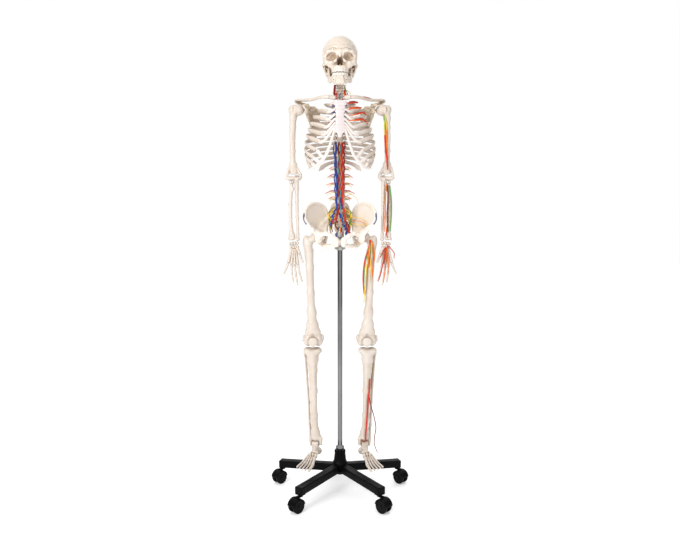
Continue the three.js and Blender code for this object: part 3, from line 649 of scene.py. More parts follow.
def skull_vault(clay):
    clay.add([
        egg((0, -14, 58), (60, 68, 62)),
        egg((0, 14, 56), (70, 70, 66)),
        egg((0, 44, 36), (58, 48, 54)),
    ], 22)
    clay.add(egg((0, 22, -2), (54, 50, 34)), 20)
    clay.add(egg((0, 30, -22), (38, 36, 16)), 14)
    for side in (-1, 1):
        clay.add(egg((46 * side, 6, 10), (22, 30, 26)), 14)
        clay.add(rod((52 * side, 22, -6), (49 * side, 24, -24), 10, 6.5), 6)
        clay.add(rod((44 * side, 8, -14), (43 * side, 4, -30), 3.5, 1.5), 4)
        clay.add(egg((11 * side, 24, -38), (6.5, 10, 6)), 4)
        clay.carve(egg((60 * side, 13, -3), (8, 5, 5)), 2)


# Points, radii and blend of the brow, the socket's outer rim, the cheek up to the nose, and its buttress.
FACE_STROKES = (
    (((8, -79, 41), (26, -79, 46), (46, -68, 44), (56, -56, 33)), (6, 6, 6, 5), 8),
    (((56, -56, 33), (55.5, -52, 20), (54, -56, 10)), (5, 4.5, 7), 6),
    (((51, -60, 6), (35, -70, 4), (18, -77, 9), (12.5, -81, 33)), (8, 6.5, 5, 3.5), 8),
    (((49, -58, 6), (38, -60, -5), (28, -62, -13)), (8, 6, 6), 8),
)
CHEEK_ARCH = ((52, -54, 8), (64, -36, 8), (68, -14, 8), (64, 6, 10))


def skull_face(clay):
    clay.add(egg((0, -38, 26), (42, 36, 34)), 14)
    clay.add(egg((0, -44, -6), (29, 28, 20)), 10)
    for side in (-1, 1):
        for points, radii, soft in FACE_STROKES:
            clay.add(stroke(sided(side, points), radii), soft)
        clay.add(stroke(sided(side, CHEEK_ARCH), (7, 4.5, 3.6, 4.5), UP, 1.5), 4)
        clay.add(egg((31 * side, -58, 0), (17, 13, 13)), 8)
        clay.add(egg((42 * side, -42, 22), (13, 15, 18)), 6)
    clay.add(stroke([(0, -81, 43), (0, -84, 30), (0, -90, 21)], (6.5, 5, 3.5)), 7)
    ridge = [(x, -38 - 38 * math.sqrt(1 - (x / 30) ** 2), UPPER_RIDGE) for x in range(-24, 25, 8)]
    clay.add(stroke(ridge, [7] * len(ridge), UP, 1.35), 6)
    for side in (-1, 1):
        clay.add(stroke([(24 * side, -58, -18), (26 * side, -36, -16)], (7, 6), UP, 1.3), 6)


def skull_openings(clay):
    for side in (-1, 1):
        socket = turned(-14 * side, "Z")
        clay.carve(egg((ORBIT[0] * side, *ORBIT[1:]), ORBIT_RADII, socket), 5)
        clay.carve(egg((50 * side, -20, -8), (10, 28, 26)), 4)
        clay.carve(egg((60 * side, -32, 30), (9, 17, 24)), 10)
        clay.carve(rod((27 * side, -90, 2), (27 * side, -66, 4), 1.8), 1)
        clay.carve(rod((26 * side, -92, 48), (25 * side, -72, 49), 1.3), 1)
    clay.carve(egg((0, NOSE_Y, -2), (11.5, 27, 8.5)), 4)
    clay.carve(egg((0, NOSE_Y - 2, 6), (7.5, 25, 10.5)), 4)
    clay.add(stroke([(0, -70, -9), (0, -66, 4), (0, -64, 20)], (1.2, 1.0, 1.2)), 1.5)
    clay.add(rod((0, -86, -10), (0, -78, -10), 1.6, 2.4), 2.5)
    clay.carve(egg((0, -34, -30), (19, 34, 15)), 4)
    clay.carve(egg((0, 44, -32), (14, 17, 16)), 3)


def tooth_roots(clay, half_width, depth, center_y, neck, tip):
    """Low ribs where the tooth roots press through the jaw."""
    for angle in range(-72, 73, 16):
        turn = math.radians(angle)
        x, y = half_width * math.sin(turn), center_y - depth * math.cos(turn)
        clay.add(rod((x, y, neck), (x * 0.96, y + 1.5, tip), 3.2, 2.0), 2.5)


def paint_shade(piece, spots):
    """Paints shade in egg-shaped spots by deepening the hollow value there; each spot is a centre from the
    jaw hinge, radii and amount.
    """
    places, _, hollow = mesh_arrays(piece)
    local = places / MM - JAW
    for center, radii, amount in spots:
        reach = np.sqrt((((local - center) / radii) ** 2).sum(1))
        hollow = hollow + amount * np.clip(1.6 * (1.0 - reach), 0.0, 1.0)
    piece.data.attributes["hollow"].data.foreach_set("value", hollow.astype(np.float32))


def skull_shade_spots():
    # Painted shade in the nose, inside the vault, in the eye sockets and in the hollows under the cheek
    # arches.
    spots = [((0, -70, 4), (15, 20, 26), 1.6), ((0, 14, 66), (62, 66, 44), 0.06)]
    for side in (-1, 1):
        spots.append(((32 * side, -60, 28), (22, 26, 18), 0.07))
        spots.append(((48 * side, -26, -12), (14, 30, 26), 0.12))
    return spots


def make_skull():
    clay = Clay((-78, -104, -52), (78, 102, 128), 1.4, origin=JAW)
    skull_vault(clay)
    skull_face(clay)
    tooth_roots(clay, 28, 40, -38, -25, -10)
    skull_openings(clay)
    clay.carve(BRAIN_SPACE, 6)
    cap = clay.copy()
    cap.carve(block((0, 0, CAP_CUT + CUT_GAP - FAR), (FAR, FAR, FAR)), 0.3)
    clay.carve(block((0, 0, CAP_CUT - CUT_GAP + FAR), (FAR, FAR, FAR)), 0.3)
    skull = clay.mesh("skull", SKULL_BONE)
    paint_shade(skull, skull_shade_spots())
    settle(skull, "skull", ("cranium",))
    settle(cap.mesh("calvarium", SKULL_BONE), "calvarium", ("skull_cap",))


def make_jaw():
    clay = Clay((-62, -86, -86), (62, 22, 14), 1.2, origin=JAW)
    for side in (-1, 1):
        body = ((44, -4, -48), (38, -34, -54), (24, -60, -62), (9, -74, -69))
        clay.add(stroke(sided(side, body), (4.2, 4.6, 5.2, 5.5), UP, 2.1), 7)
        ridge = ((38, -20, -46), (30, -42, -48), (19, -62, LOWER_RIDGE), (6, -71, LOWER_RIDGE - 1))
        clay.add(stroke(sided(side, ridge), (4.5, 5, 5, 5), UP, 1.4), 5)
        corners = ((46, 9, -46), (45, 5, -10), (41, -20, -50), (43, -20, -10))
        angle, neck, body_end, horn = sided(side, corners)
        clay.add(sheet(angle, neck, body_end, 6.5), 6)
        clay.add(sheet(horn, body_end, neck, 5.5), 6)
        clay.carve(egg((45 * side, -8, -3), (12, 8, 8)), 3)
        clay.add(rod((46 * side, 6, -14), (48 * side, 1, -3), 4.5, 4), 4)
        clay.add(rod((43 * side, 1, 0), (53 * side, 0, 0), 4.2, 4.2), 3)
        clay.add(rod((43 * side, -20, -22), (44 * side, -21, -2), 4.5, 2, DEEP, 1.5), 4)
        clay.carve(rod((26 * side, -80, -62), (25 * side, -62, -62), 1.7), 1)
        clay.add(egg((12 * side, -77, -75), (7, 5, 5)), 6)
    clay.add(rod((-9, -74.5, -69), (9, -74.5, -69), 5.5, 5.5, UP, 2.2), 7)
    clay.add(rod((-7, -71.5, -52), (7, -71.5, -52), 5, 5, UP, 1.4), 5)
    clay.add(rod((0, -77, -75), (0, -78, -66), 5.5, 3.5), 7)
    tooth_roots(clay, 25.5, 36, -36, -47, -60)
    settle(clay.mesh("lower_jaw", SKULL_BONE), "jaw", ("mandible",))


# From the middle line back: the widths of the upper and lower teeth, and the half thickness of both.
TEETH_WIDTHS = {
    "upper": (8.4, 6.8, 7.6, 7.0, 6.8, 9.8, 9.4),
    "lower": (5.4, 5.8, 6.8, 7.0, 7.0, 10.4, 10.0),
}
TEETH_HALF_THICK = (3.0, 3.0, 3.6, 3.8, 4.0, 4.8, 4.8)
ARCH_STEP = 0.004


def along_arch(angle, travelled, target, half_width, depth):
    """Walks along an oval arch until the distance reaches the target, and gives the angle and distance."""
    while travelled < target:
        angle += ARCH_STEP
        travelled += math.hypot(half_width * math.cos(angle), depth * math.sin(angle)) * ARCH_STEP
    return angle, travelled


def tooth_row(kind, half_width, depth, center_y, top, bottom):
    """Fourteen crowns along an arch, each a rounded block set square to the arch."""
    low_z, high_z = min(top, bottom) - 4, max(top, bottom) + 4
    clay = Clay((-36, center_y - depth - 10, low_z), (36, -8, high_z), 0.7, 0.6, JAW)
    for side in (-1, 1):
        angle, travelled = 0.0, 0.0
        for number, width in enumerate(TEETH_WIDTHS[kind]):
            angle, travelled = along_arch(angle, travelled, travelled + width / 2, half_width, depth)
            x, y = half_width * math.sin(angle), center_y - depth * math.cos(angle)
            heading = math.degrees(math.atan2(depth * math.sin(angle), half_width * math.cos(angle)))
            tip = bottom + {1: 0.8, 2: -0.6}.get(number, 0.0)
            middle = (top + tip) / 2 + 5.0 * (x / 28) ** 2
            half = (width / 2 - 0.2, TEETH_HALF_THICK[number] - 0.2, abs(top - tip) / 2 + 0.1)
            clay.add(pad((x * side, y, middle), half, 1.3, turned(heading * side, "Z")), 0.3)
            angle, travelled = along_arch(angle, travelled, travelled + width / 2, half_width, depth)
    return clay.mesh(f"{kind}_teeth", TEETH)


def make_teeth():
    settle(tooth_row("upper", 28.5, 42, -38, -22.0, -34.2), "skull")
    settle(tooth_row("lower", 26.5, 39, -37, -48.0, -37.4), "jaw")


# ---------------------------------------------------------------- spine

SPINE_LINE = smooth_line([
    (0, 35, 1630), (0, 32, 1580), (0, 42, 1540), (0, 68, 1450),
    (0, 60, 1370), (0, 40, 1296), (0, 30, 1215), (0, 40, 1134),
], 200)
# Top and bottom heights, number of vertebrae, half width and depth of the bodies, reach of the side wings,
# and the length and drop of the spur behind.
SPINE = {
    "cervical": dict(top=1620, bottom=1540, count=7, half=(12, 9), wing=(21, 3, 0), spur=15, drop=4),
    "thoracic": dict(top=1540, bottom=1296, count=12, half=(15, 12), wing=(24, 16, 5), spur=21, drop=14),
    "lumbar": dict(top=1296, bottom=1136, count=5, half=(23, 16), wing=(40, 20, 3), spur=25, drop=4),
}


def spine_y(z):
    return float(np.interp(-z, -SPINE_LINE[:, 2], SPINE_LINE[:, 1]))


def spine_pitch(region):
    return (region["top"] - region["bottom"]) / region["count"]


def growth(region, place):
    """The size of a vertebra or disc, which grows down each region of the spine."""
    return 0.88 + 0.12 * place / region["count"]


def vertebra(name, region):
    """One vertebra around the centre of its body: drum, arch, transverse wings, joint stubs and spine."""
    width, depth = region["half"]
    height = spine_pitch(region) * 0.41
    wing_x, wing_y, wing_z = region["wing"]
    reach = wing_x + 8
    low = (-reach, -depth - 4, -height - region["drop"] - 10)
    clay = Clay(low, (reach, depth + region["spur"] + 8, height + 10), 1.0, 3)
    clay.add(drum((0, 0, 0), width, depth, height, 0.15 * depth))
    thick = 2.2 + height * 0.16
    for side in (-1, 1):
        pillar = (0.66 * width * side, depth + 4, 0.15 * height)
        clay.add(rod((0.5 * width * side, 0.5 * depth, 0.3 * height), pillar, thick, thick, UP, 1.3))
        clay.add(rod(pillar, (2 * side, depth + 11, -0.2 * height), thick * 0.8, thick * 0.8, UP, 1.9))
        wing_tip = (wing_x * side, depth * 0.4 + wing_y, wing_z)
        clay.add(rod(pillar, wing_tip, thick, thick * 0.75, UP, 1.25), 4)
        stub = (0.74 * width * side, depth + 5)
        clay.add(rod((*stub, 0.9 * height), (*stub, -1.1 * height), thick * 0.9, thick * 0.8), 3)
    tip = (0, depth + region["spur"], -region["drop"])
    clay.add(rod((0, depth + 9, -0.15 * height), tip, thick * 0.85, thick * 0.8, UP, 1.7), 3)
    # The neck vertebrae take the lighter copy of bone, which paints light where they would lie in the jaw's
    # shade.
    return clay.mesh(name, LIT_BONE if name.startswith("cervical") else BONE)


def along_spine(z, scale):
    """Moves places in metres from around the origin to the spine at height z, leaning with it."""
    lean = math.atan2(spine_y(z + 6) - spine_y(z - 6), 12)
    turn = np.array(Matrix.Rotation(-lean, 3, "X")) @ np.diag(scale)
    return lambda places: places @ turn.T + np.array([0, spine_y(z), z]) * MM


def make_spine():
    for label, region in SPINE.items():
        pattern = vertebra(f"{label}_pattern", region)
        for index in range(region["count"]):
            z = region["top"] - spine_pitch(region) * (index + 0.5)
            size = growth(region, index)
            broad = size * (1.25 if label == "cervical" and index == 0 else 1.0)
            name = f"{label}_vertebra_{index + 1}"
            bone = transformed(pattern, name, along_spine(z, (broad, size, 1.0)))
            settle(bone, "root", (f"{label}_spine",) if index == 0 else ())
        bpy.data.objects.remove(pattern)
    make_discs()


def make_discs():
    discs = []
    for region in SPINE.values():
        half_height = spine_pitch(region) * 0.13
        for index in range(region["count"]):
            z = region["top"] - spine_pitch(region) * (index + 1)
            width, depth = region["half"]
            clay = Clay((-width - 3, -depth - 3, -8), (width + 3, depth + 3, 8), 1.0, 1)
            size = growth(region, index + 0.5) * 0.95
            clay.add(drum((0, 0, 0), width * size, depth * size, half_height, -0.5))
            pattern = clay.mesh("disc_pattern", DISC)
            discs.append(transformed(pattern, "disc", along_spine(z, (1, 1, 1))))
            bpy.data.objects.remove(pattern)
    settle(joined(discs, "spinal_discs"), "root")


def make_sacrum():
    clay = Clay((-44, 20, -90), (44, 106, 94), 1.3, 6, (0, 0, 1050))
    curve = ((44, 82), (52, 60), (62, 34), (70, 10), (75, -14), (74, -38), (66, -62), (60, -76))
    path = [(0, y, z) for y, z in curve]
    radii = (15, 14, 12.6, 11, 9.4, 7, 4.8, 3.5)
    for index, ratio in enumerate((2.2, 2.35, 2.35, 2.3, 2.1, 1.8, 1.4)):
        clay.add(rod(path[index], path[index + 1], radii[index], radii[index + 1], OUT, ratio), 6)
    for side in (-1, 1):
        clay.add(egg((26 * side, 54, 70), (12, 13, 15)), 7)
        for row in range(4):
            _, y, z = path[row + 1]
            x = (14 - 1.8 * row) * side
            clay.carve(rod((x, y - 24, z + 6), (x, y - 2, z + 5), 3.6 - 0.4 * row), 3)
            clay.carve(rod((x, y + 24, z + 4), (x, y + 6, z + 4), 3.0 - 0.3 * row), 3)
    for row in range(4):
        clay.add(egg((0, path[row + 1][1] + 14 - 1.4 * row, path[row + 1][2] + 4), (3, 5, 8)), 5)
    settle(clay.mesh("sacrum", SHADED_BONE), "root", ("sacrum",))


# ---------------------------------------------------------------- chest

# Half width and half depth of the chest, front end height and front end angle of each rib.
RIBS = (
    (58, 66, 1514, 50), (86, 76, 1482, 56), (103, 84, 1452, 60), (115, 88, 1422, 60),
    (124, 91, 1394, 58), (131, 92, 1366, 54), (136, 92, 1332, 50), (138, 91, 1304, 44),
    (136, 89, 1284, 39), (130, 86, 1270, 33), (122, 84, 1272, -2), (108, 82, 1268, -38),
)
RIB_FIRST, RIB_PITCH, RIB_BACK_X = 1530, 20.3, 28
STERNAL_Z = (1516, 1488, 1468, 1450, 1434, 1421, 1410)
# Where the cartilages of ribs 7 to 10 meet along the chest's lower edge, from the middle outward.
CHEST_EDGE = ((44, -95, 1338), (56, -92, 1308), (76, -82, 1288), (93, -70, 1273))


def rib_point(index, share):
    half_width, half_depth, front_z, front_angle = RIBS[index]
    back_z = RIB_FIRST - RIB_PITCH * index
    back_angle = -math.acos(RIB_BACK_X / half_width)
    angle = back_angle + (math.radians(front_angle) - back_angle) * share
    center_y = spine_y(back_z) + 20 - half_depth
    fall = 0.35 * share + 0.65 * share * share
    z = back_z + (front_z - back_z) * fall
    return (half_width * math.cos(angle), center_y - half_depth * math.sin(angle), z)


def sternum_y(z):
    return -82 - 22 * (1531 - z) / (1531 - 1372)


def cartilage_line(index):
    start = np.array(rib_point(index, 1.0))
    back = np.array(rib_point(index, 0.985))
    if index > 6:
        return [back, start, *CHEST_EDGE[index - 7:index - 4][::-1]]
    end = np.array((19.0, sternum_y(STERNAL_Z[index]), STERNAL_Z[index]))
    middle = (2 * start + end) / 3 + (0, -3, 0)
    middle[2] = start[2] - 2 + 0.12 * (end[2] - start[2])
    if index == 6:
        middle = np.array(CHEST_EDGE[1])
    return [back, start, middle, end]


def make_ribs():
    rise = (0.35, -0.25, 1.0)
    for index in range(12):
        back_z = RIB_FIRST - RIB_PITCH * index
        neck = (17, spine_y(back_z) + 9, back_z + 3)
        line = [neck] + [rib_point(index, share) for share in np.linspace(0, 1, 9)]
        tall = 7.4 if index else 6.0
        tips = (1.15, 1.05) if index < 10 else (0.8, 0.4)
        shape = [1.0, 0.85, 0.9, 0.95, 1.0, 1.1, 1.2, 1.25, *tips]
        radii = [3.4 * value for value in (1.1, 0.95, 0.9, 0.85, 0.85, 0.85, 0.85, 0.9, *tips)]
        ratio = [tall * value / 3.0 for value in shape]
        wide = (1.0, -0.6, 0.5) if index == 0 else rise
        rib = sweep(f"rib_{index + 1}_left", line, radii, BONE, 14, wide, ratio, 46)
        node = {10: "rib_11", 11: "rib_12"}.get(index, "rib_cage" if index == 0 else None)
        pair(rib, f"rib_{index + 1}", "root", node)
    for index in range(10):
        line = cartilage_line(index)
        name = f"rib_cartilage_{index + 1}"
        radii, ratio = (3.3, 3.6, 3.4, 3.0), (2.1, 2.1, 1.9, 1.6)
        gristle = sweep(f"{name}_left", line, radii, CARTILAGE, 12, UP, ratio, 26)
        pair(gristle, name, "root")


def make_sternum():
    clay = Clay((-30, -118, 1366), (30, -70, 1536), 1.1, 5)
    spans = [
        (1519, 5.0, 4.2), (1508, 4.8, 4.0), (1494, 4.2, 3.6), (1480, 4.2, 3.7),
        (1450, 4.4, 4.0), (1420, 4.6, 4.0), (1400, 4.4, 3.8),
    ]
    for (top, top_radius, ratio), (low, low_radius, _) in zip(spans[:-1], spans[1:]):
        ends = (0, sternum_y(top), top), (0, sternum_y(low), low)
        clay.add(rod(*ends, top_radius, low_radius, OUT, ratio))
    clay.add(rod((0, sternum_y(1400), 1400), (0, sternum_y(1380), 1380), 4.2, 2.2, OUT, 2.9))
    clay.carve(egg((0, sternum_y(1525), 1531), (12, 12, 7)), 4)
    for side in (-1, 1):
        clay.carve(egg((21 * side, sternum_y(1524), 1530), (7, 9, 6)), 3)
    settle(clay.mesh("sternum", WHITE_BONE), "root", ("sternum",))


# ---------------------------------------------------------------- shoulder girdle

SHOULDER = joint_mm("shoulder_swing_left")
SHOULDER_BALL, SHOULDER_SOCKET = 22.6, 27.0


def make_scapula():
    clay = Clay((-92, -48, -112), (18, 94, 48), 1.3, 5, SHOULDER)
    upper, lower, middle = (-70, 80, 20), (-62, 86, -98), (-80, 84, -16)
    neck, base = (-33, 14, -4), (-36, 20, -22)
    clay.add(sheet(upper, middle, neck, 4.5), 5)
    clay.add(sheet(middle, lower, base, 4.5), 5)
    clay.add(sheet(middle, base, neck, 4.5), 5)
    clay.add(sheet(upper, (-30, 22, 20), neck, 4.5), 5)
    clay.add(sheet(upper, (-62, 74, 30), (-30, 22, 20), 4.5), 5)
    clay.add(stroke([upper, middle, lower], (3.2, 3.0, 4.5)), 5)
    clay.add(stroke([lower, base, neck], (4.5, 4.5, 7)), 6)
    clay.add(stroke([upper, neck], (2.8, 6)), 5)
    clay.add(rod((-38, 6, -1), (-31, 0, 0), 10, 13, UP, 1.2), 5)
    ridge = [(-80, 88, 2), (-52, 68, 18), (-22, 44, 32), (0, 26, 36), (12, 14, 37)]
    clay.add(stroke(ridge, (3.5, 4, 4.5, 5, 4.5), UP, 1.25), 5)
    clay.add(sheet((-76, 84, 4), (-22, 44, 30), (-34, 24, 4), 5), 5)
    clay.add(rod((-2, 26, 36), (12, 8, 37), 6, 4.5, OUT, 1.5), 4)
    clay.add(stroke([(-37, 2, 8), (-38, -18, 15), (-24, -34, 12)], (6.5, 5, 3.8)), 5)
    clay.carve(ball((0, 0, 0), SHOULDER_SOCKET), 1.5)
    clay.carve(rod((-60, 0, 0), (0, 0, 0), 3.4), 0.5)
    bone_pair(clay, "scapula", "root", SHADED_BONE)


def make_clavicle():
    line = [(24, -80, 1534), (46, -84, 1536), (78, -66, 1538)]
    line += [(112, -24, 1540), (146, 6, 1546), (168, 20, 1550)]
    radii = (9.0, 7.2, 6.2, 5.8, 5.8, 5.2)
    bone = sweep("clavicle_left", line, radii, BONE, 20, OUT, (1.0, 1.0, 1.0, 1.1, 1.5, 1.9), 60)
    pair(bone, "clavicle", "root", "clavicle")


# ---------------------------------------------------------------- arm

ELBOW = joint_mm("elbow_left")
WRIST = joint_mm("wrist_bend_left")


def small_bone(clay, start, end, radius, soft=2.0):
    """A finger or toe bone: a broad base, a thin middle and a round head."""
    a, b = np.array(start, float), np.array(end, float)
    reach = b - a
    length = np.linalg.norm(reach)
    a, b = a + reach * 0.9 * radius / length, b - reach * 0.95 * radius / length
    stops = [a + (b - a) * share for share in (0.0, 0.2, 0.5, 0.8, 1.0)]
    thick = [radius * share for share in (1.0, 0.8, 0.66, 0.74, 0.98)]
    bone = clay.emptied()
    bone.add(stroke(stops, thick, OUT, 1.12), soft)
    clay.merge(bone)


def make_humerus():
    clay = Clay((136, -20, 1218), (216, 46, 1536), 1.3, 7)
    x, y, z = SHOULDER
    clay.add(ball((x, y, z), SHOULDER_BALL))
    clay.add(egg((188, 12, 1510), (17, 17, 18)), 8)
    clay.add(egg((178, -3, 1505), (8, 9, 14)), 5)
    clay.carve(rod((186, -8, 1520), (187, -6, 1478), 2.4), 4)
    shaft = [(184, 12, 1502), (187, 12, 1476), (188, 12, 1440), (189, 12, 1345), (187, 12, 1288)]
    clay.add(stroke(shaft, (17, 13.5, 11.6, 10.4, 10.4)), 8)
    clay.add(egg((195, 8, 1400), (5, 6, 26)), 8)
    clay.add(rod((187, 12, 1292), (185, 12, 1258), 9.5, 8, OUT, 1.75), 8)
    clay.add(stroke([(206, 12, 1280), (209, 12, 1252), (210, 12, 1238)], (3, 5.5, 7)), 6)
    clay.add(stroke([(168, 13, 1276), (160, 14, 1252), (158, 14, 1242)], (3, 6, 7.5)), 6)
    clay.carve(egg((182, 27, 1262), (13, 11, 12)), 4)
    clay.carve(egg((182, -2, 1262), (12, 6, 8)), 4)
    clay.carve(reel(ELBOW, 17, 23), 2)
    clay.add(rod(ELBOW - (22, 0, 0), ELBOW + (22, 0, 0), 8.3), 1)
    clay.carve(sheet((x, y, z), (x - 40, y, z), (x - 30, y, z + 22), 8.0), 1)
    clay.carve(rod((x - 60, y, z - 1), (x, y, z), 4.6), 1)
    bone_pair(clay, "humerus", "upper_arm")


def make_ulna():
    clay = Clay((152, -8, 976), (190, 36, 1258), 1.1, 5)
    hook = (172.5, ELBOW[1], ELBOW[2])
    shaft = [(173, 14, 1220), (172.5, 13, 1198), (172, 13, 1150)]
    shaft += [(170, 12, 1080), (168, 12, 1012), (168, 12, 994)]
    clay.add(stroke(shaft, (8.6, 7.6, 6.4, 5.6, 5.0, 6.0)), 6)
    clay.add(reel(hook, 14.2, 7.4), 5)
    clay.add(egg((172.5, 22, 1243), (7, 6, 9)), 4)
    clay.carve(reel(hook, 8.9, 30), 1)
    clay.carve(block((172.5, hook[1] - 20, hook[2] + 15), (16, 20, 14)), 2)
    clay.add(egg((168, 12, 993), (7.6, 7.6, 5.4)), 3)
    bone_pair(clay, "ulna", "forearm")


def make_radius():
    clay = Clay((172, -8, 984), (214, 32, 1234), 1.1, 5)
    shaft = [(193, 12, 1216), (193.5, 12, 1194), (198, 12, 1130), (197, 12, 1055), (192, 12, 1014)]
    clay.add(stroke(shaft, (6.2, 6.2, 6.6, 6.8, 8.4)), 6)
    clay.add(rod((192, 12, 1012), (191, 12, 999), 8.4, 9.4, OUT, 1.42), 7)
    clay.add(egg((187.5, 10, 1194), (5, 6, 9)), 4)
    clay.add(reel((193, 12, 1221), 9.6, 4.8, UPRIGHT), 3)
    clay.carve(egg((193, 12, 1230), (8, 8, 4.5)), 2)
    clay.add(rod((203, 13, 996), (204, 13, 991), 4.2, 3.2), 3)
    clay.carve(block((191, 12, 980), (40, 40, 8)), 1.5)
    clay.carve(rod((193, 0, 1221), (193, 7, 1221), 1.7), 0.5)
    bone_pair(clay, "radius", "forearm")


# Two rows, each with its place forward of the wrist, its half depth, and the bones' places and half sizes.
WRIST_BONES = (
    (0, 8.2, ((170, 978, 6.2, 7), (180.5, 978, 6.6, 7.4), (191, 977, 6, 6.8), (199, 976, 4.6, 5.6))),
    (1, 7.4, ((169, 963, 6, 6.6), (177, 962, 5, 6.4), (186, 963, 6.4, 7.4), (196, 963, 5.6, 6.4))),
)
# Thumb to little finger: wrist end, knuckle, finger joints and tip.
FINGERS = (
    ((172, 8, 962), (160, 2, 935), (154, -1, 917), (147, -4, 900)),
    ((176, 12, 958), (168, 8, 894), (161, 4, 858), (155, 3, 839), (150, 3, 824)),
    ((182, 12, 958), (181, 8, 890), (175, 4, 849), (171, 3, 826), (168, 3, 809)),
    ((187, 12, 958), (194, 8, 894), (191, 4, 856), (188, 3, 837), (186, 3, 821)),
    ((192, 12, 960), (206, 9, 900), (214, 6, 876), (220, 5, 863), (226, 5, 853)),
)


def make_hand():
    clay = Clay((138, -14, 808), (226, 28, 992), 0.95, 1.2)
    for forward, deep, row in WRIST_BONES:
        for x, z, across, tall in row:
            clay.add(egg((x, WRIST[1] - forward, z), (across, deep, tall)))
    for finger in FINGERS:
        for start, end, radius in zip(finger[:-1], finger[1:], (6.4, 5.2, 4.5, 3.9)):
            small_bone(clay, start, end, radius)
    bone_pair(clay, "hand", "wrist")


# ---------------------------------------------------------------- pelvis and leg

HIP = joint_mm("hip_swing_left")
ANKLE = joint_mm("ankle_bend_left")
# The feet are turned out.
FOOT_TURN = turned(17.0, "Z")
HIP_BALL, HIP_SOCKET, HIP_RIM = 21.7, 23.3, 30.5
CREST = ((128, -42, 1050), (138, -34, 1076), (134, -4, 1113), (106, 42, 1139), (68, 76, 1128), (46, 74, 1082))
ILIUM_ROOT = (92, 20, 1034)


def hip_wing(clay):
    """The thin blade between the socket and the crest, with its thick crest, front edge and back edge."""
    line = smooth_line(CREST, 22)
    for start, end in zip(line[:-1], line[1:]):
        clay.add(sheet(ILIUM_ROOT, start, end, 7.0), 0.5)
    clay.field = blurred(clay.field, 3)
    clay.add(stroke([tuple(point) for point in line], [5.4] * 22), 6)
    clay.add(egg((128, -42, 1052), (6.5, 7, 9)), 5)
    front_edge = [(102, -6, 1026), (112, -18, 1036), (121, -32, 1044), (127, -41, 1050)]
    clay.add(stroke(front_edge, (13, 9, 6, 5)), 8)
    clay.add(egg((107, -20, 1024), (7, 7, 9)), 7)
    clay.add(stroke([(88, 24, 1024), (72, 46, 1052), (52, 64, 1074), (44, 74, 1088)], (14, 10, 9, 8)), 8)
    brim = ((40, 70, 1086), (50, 52, 1058), (57, 28, 1034), (56, -2, 1014))
    for start, end in zip(brim[:-1], brim[1:]):
        clay.add(sheet(ILIUM_ROOT, start, end, 9.0), 4)
    clay.add(stroke(brim, (6, 5.5, 6, 8)), 5)


def hip_ring(clay):
    """The socket's rim and the two branches that close around the hole below it."""
    clay.add(stroke([(57, 28, 1034), (52, 40, 1012), (60, 34, 986)], (6, 5, 7)), 7)
    clay.add(ball(HIP, HIP_RIM), 7)
    pubis = [(80, -12, 1010), (54, -33, 1015), (34, -42, 1005), (17, -43, 992)]
    clay.add(stroke(pubis, (10, 7.5, 8, 9)), 6)
    clay.add(egg((14, -41, 983), (12, 8.5, 18)), 5)
    clay.add(stroke([(13, -38, 970), (30, -24, 967), (45, -4, 966), (60, 22, 968)], (8, 7.5, 7.5, 10)), 5)
    clay.add(stroke([(88, 26, 1000), (76, 32, 982), (62, 26, 967)], (13, 11.5, 11)), 6)
    clay.add(rod((66, 44, 1006), (60, 50, 1002), 5, 2.5), 5)


def make_hip_bone():
    clay = Clay((-2, -56, 944), (150, 96, 1150), 1.5, 7)
    hip_wing(clay)
    hip_ring(clay)
    clay.carve(ball(HIP, HIP_SOCKET), 1.5)
    clay.carve(rod((102, -3, 1003), (128, -28, 1000), 16, 19), 2)
    tilt = turned(20, "Y")
    clay.carve(block(HIP + tilt @ np.array([46.0, 0, 0]), (38, 60, 60), tilt), 2)
    clay.carve(block((-20, 0, 1050), (21.2, FAR, FAR)), 1)
    # The hip bone takes the lighter copy of bone, which paints light over the shade on its blade.
    bone_pair(clay, "hip_bone", "root", LIT_BONE)


def make_pubic_cartilage():
    clay = Clay((-8, -10, -18), (8, 10, 18), 0.9, 1, (0, -41, 980))
    clay.add(egg((0, 0, 0), (3.2, 6.4, 13.5)))
    settle(clay.mesh("pubic_cartilage", CARTILAGE), "root")


def make_femur():
    clay = Clay((60, -30, 562), (156, 48, 1036), 1.6, 8)
    clay.add(ball(HIP, HIP_BALL))
    clay.add(rod((102, 7, 1000), (124, 9, 985), 12.5, 15, UP, 1.1), 7)
    clay.add(egg((135, 13, 988), (13.5, 15, 22)), 9)
    clay.add(egg((112, 22, 948), (7, 8, 9)), 8)
    shaft = [(128, 10, 970), (123, 8, 930), (120, 6, 880), (117, 4, 780), (113, 2, 700)]
    clay.add(stroke(shaft, (18, 15.6, 15.2, 15.0, 15.6)), 9)
    flare = [(113, 2, 705), (110, 0, 655), (108, 0, 625), (107, 1, 610)]
    for start, end, ratio in zip(flare[:-1], flare[1:], (1.15, 1.5, 1.9)):
        clay.add(rod(start, end, 15, 15, OUT, ratio), 16)
    for x, across in ((86, 19), (128, 18.5)):
        clay.add(egg((x, 8, 589), (across, 20.6, 20.6)), 6)
        clay.add(rod((x, -4, 600), (x, 2, 606), 12, 12), 6)
    clay.add(rod((92, -2, 602), (122, -2, 602), 12.5), 5)
    clay.add(egg((70, 8, 602), (7, 11, 13)), 6)
    clay.add(egg((144, 8, 600), (6, 10, 12)), 6)
    clay.carve(rod((107, -24, 612), (107, -24, 586), 9, 9), 7)
    clay.carve(egg((107, 26, 578), (9, 26, 19)), 3)
    x, y, z = HIP
    clay.carve(sheet((x, y, z), (x - 40, y, z), (x - 40, y, z + 6), 8.0), 1)
    clay.carve(rod((x - 60, y, z), (x, y, z), 4.6), 1)
    bone_pair(clay, "femur", "thigh")


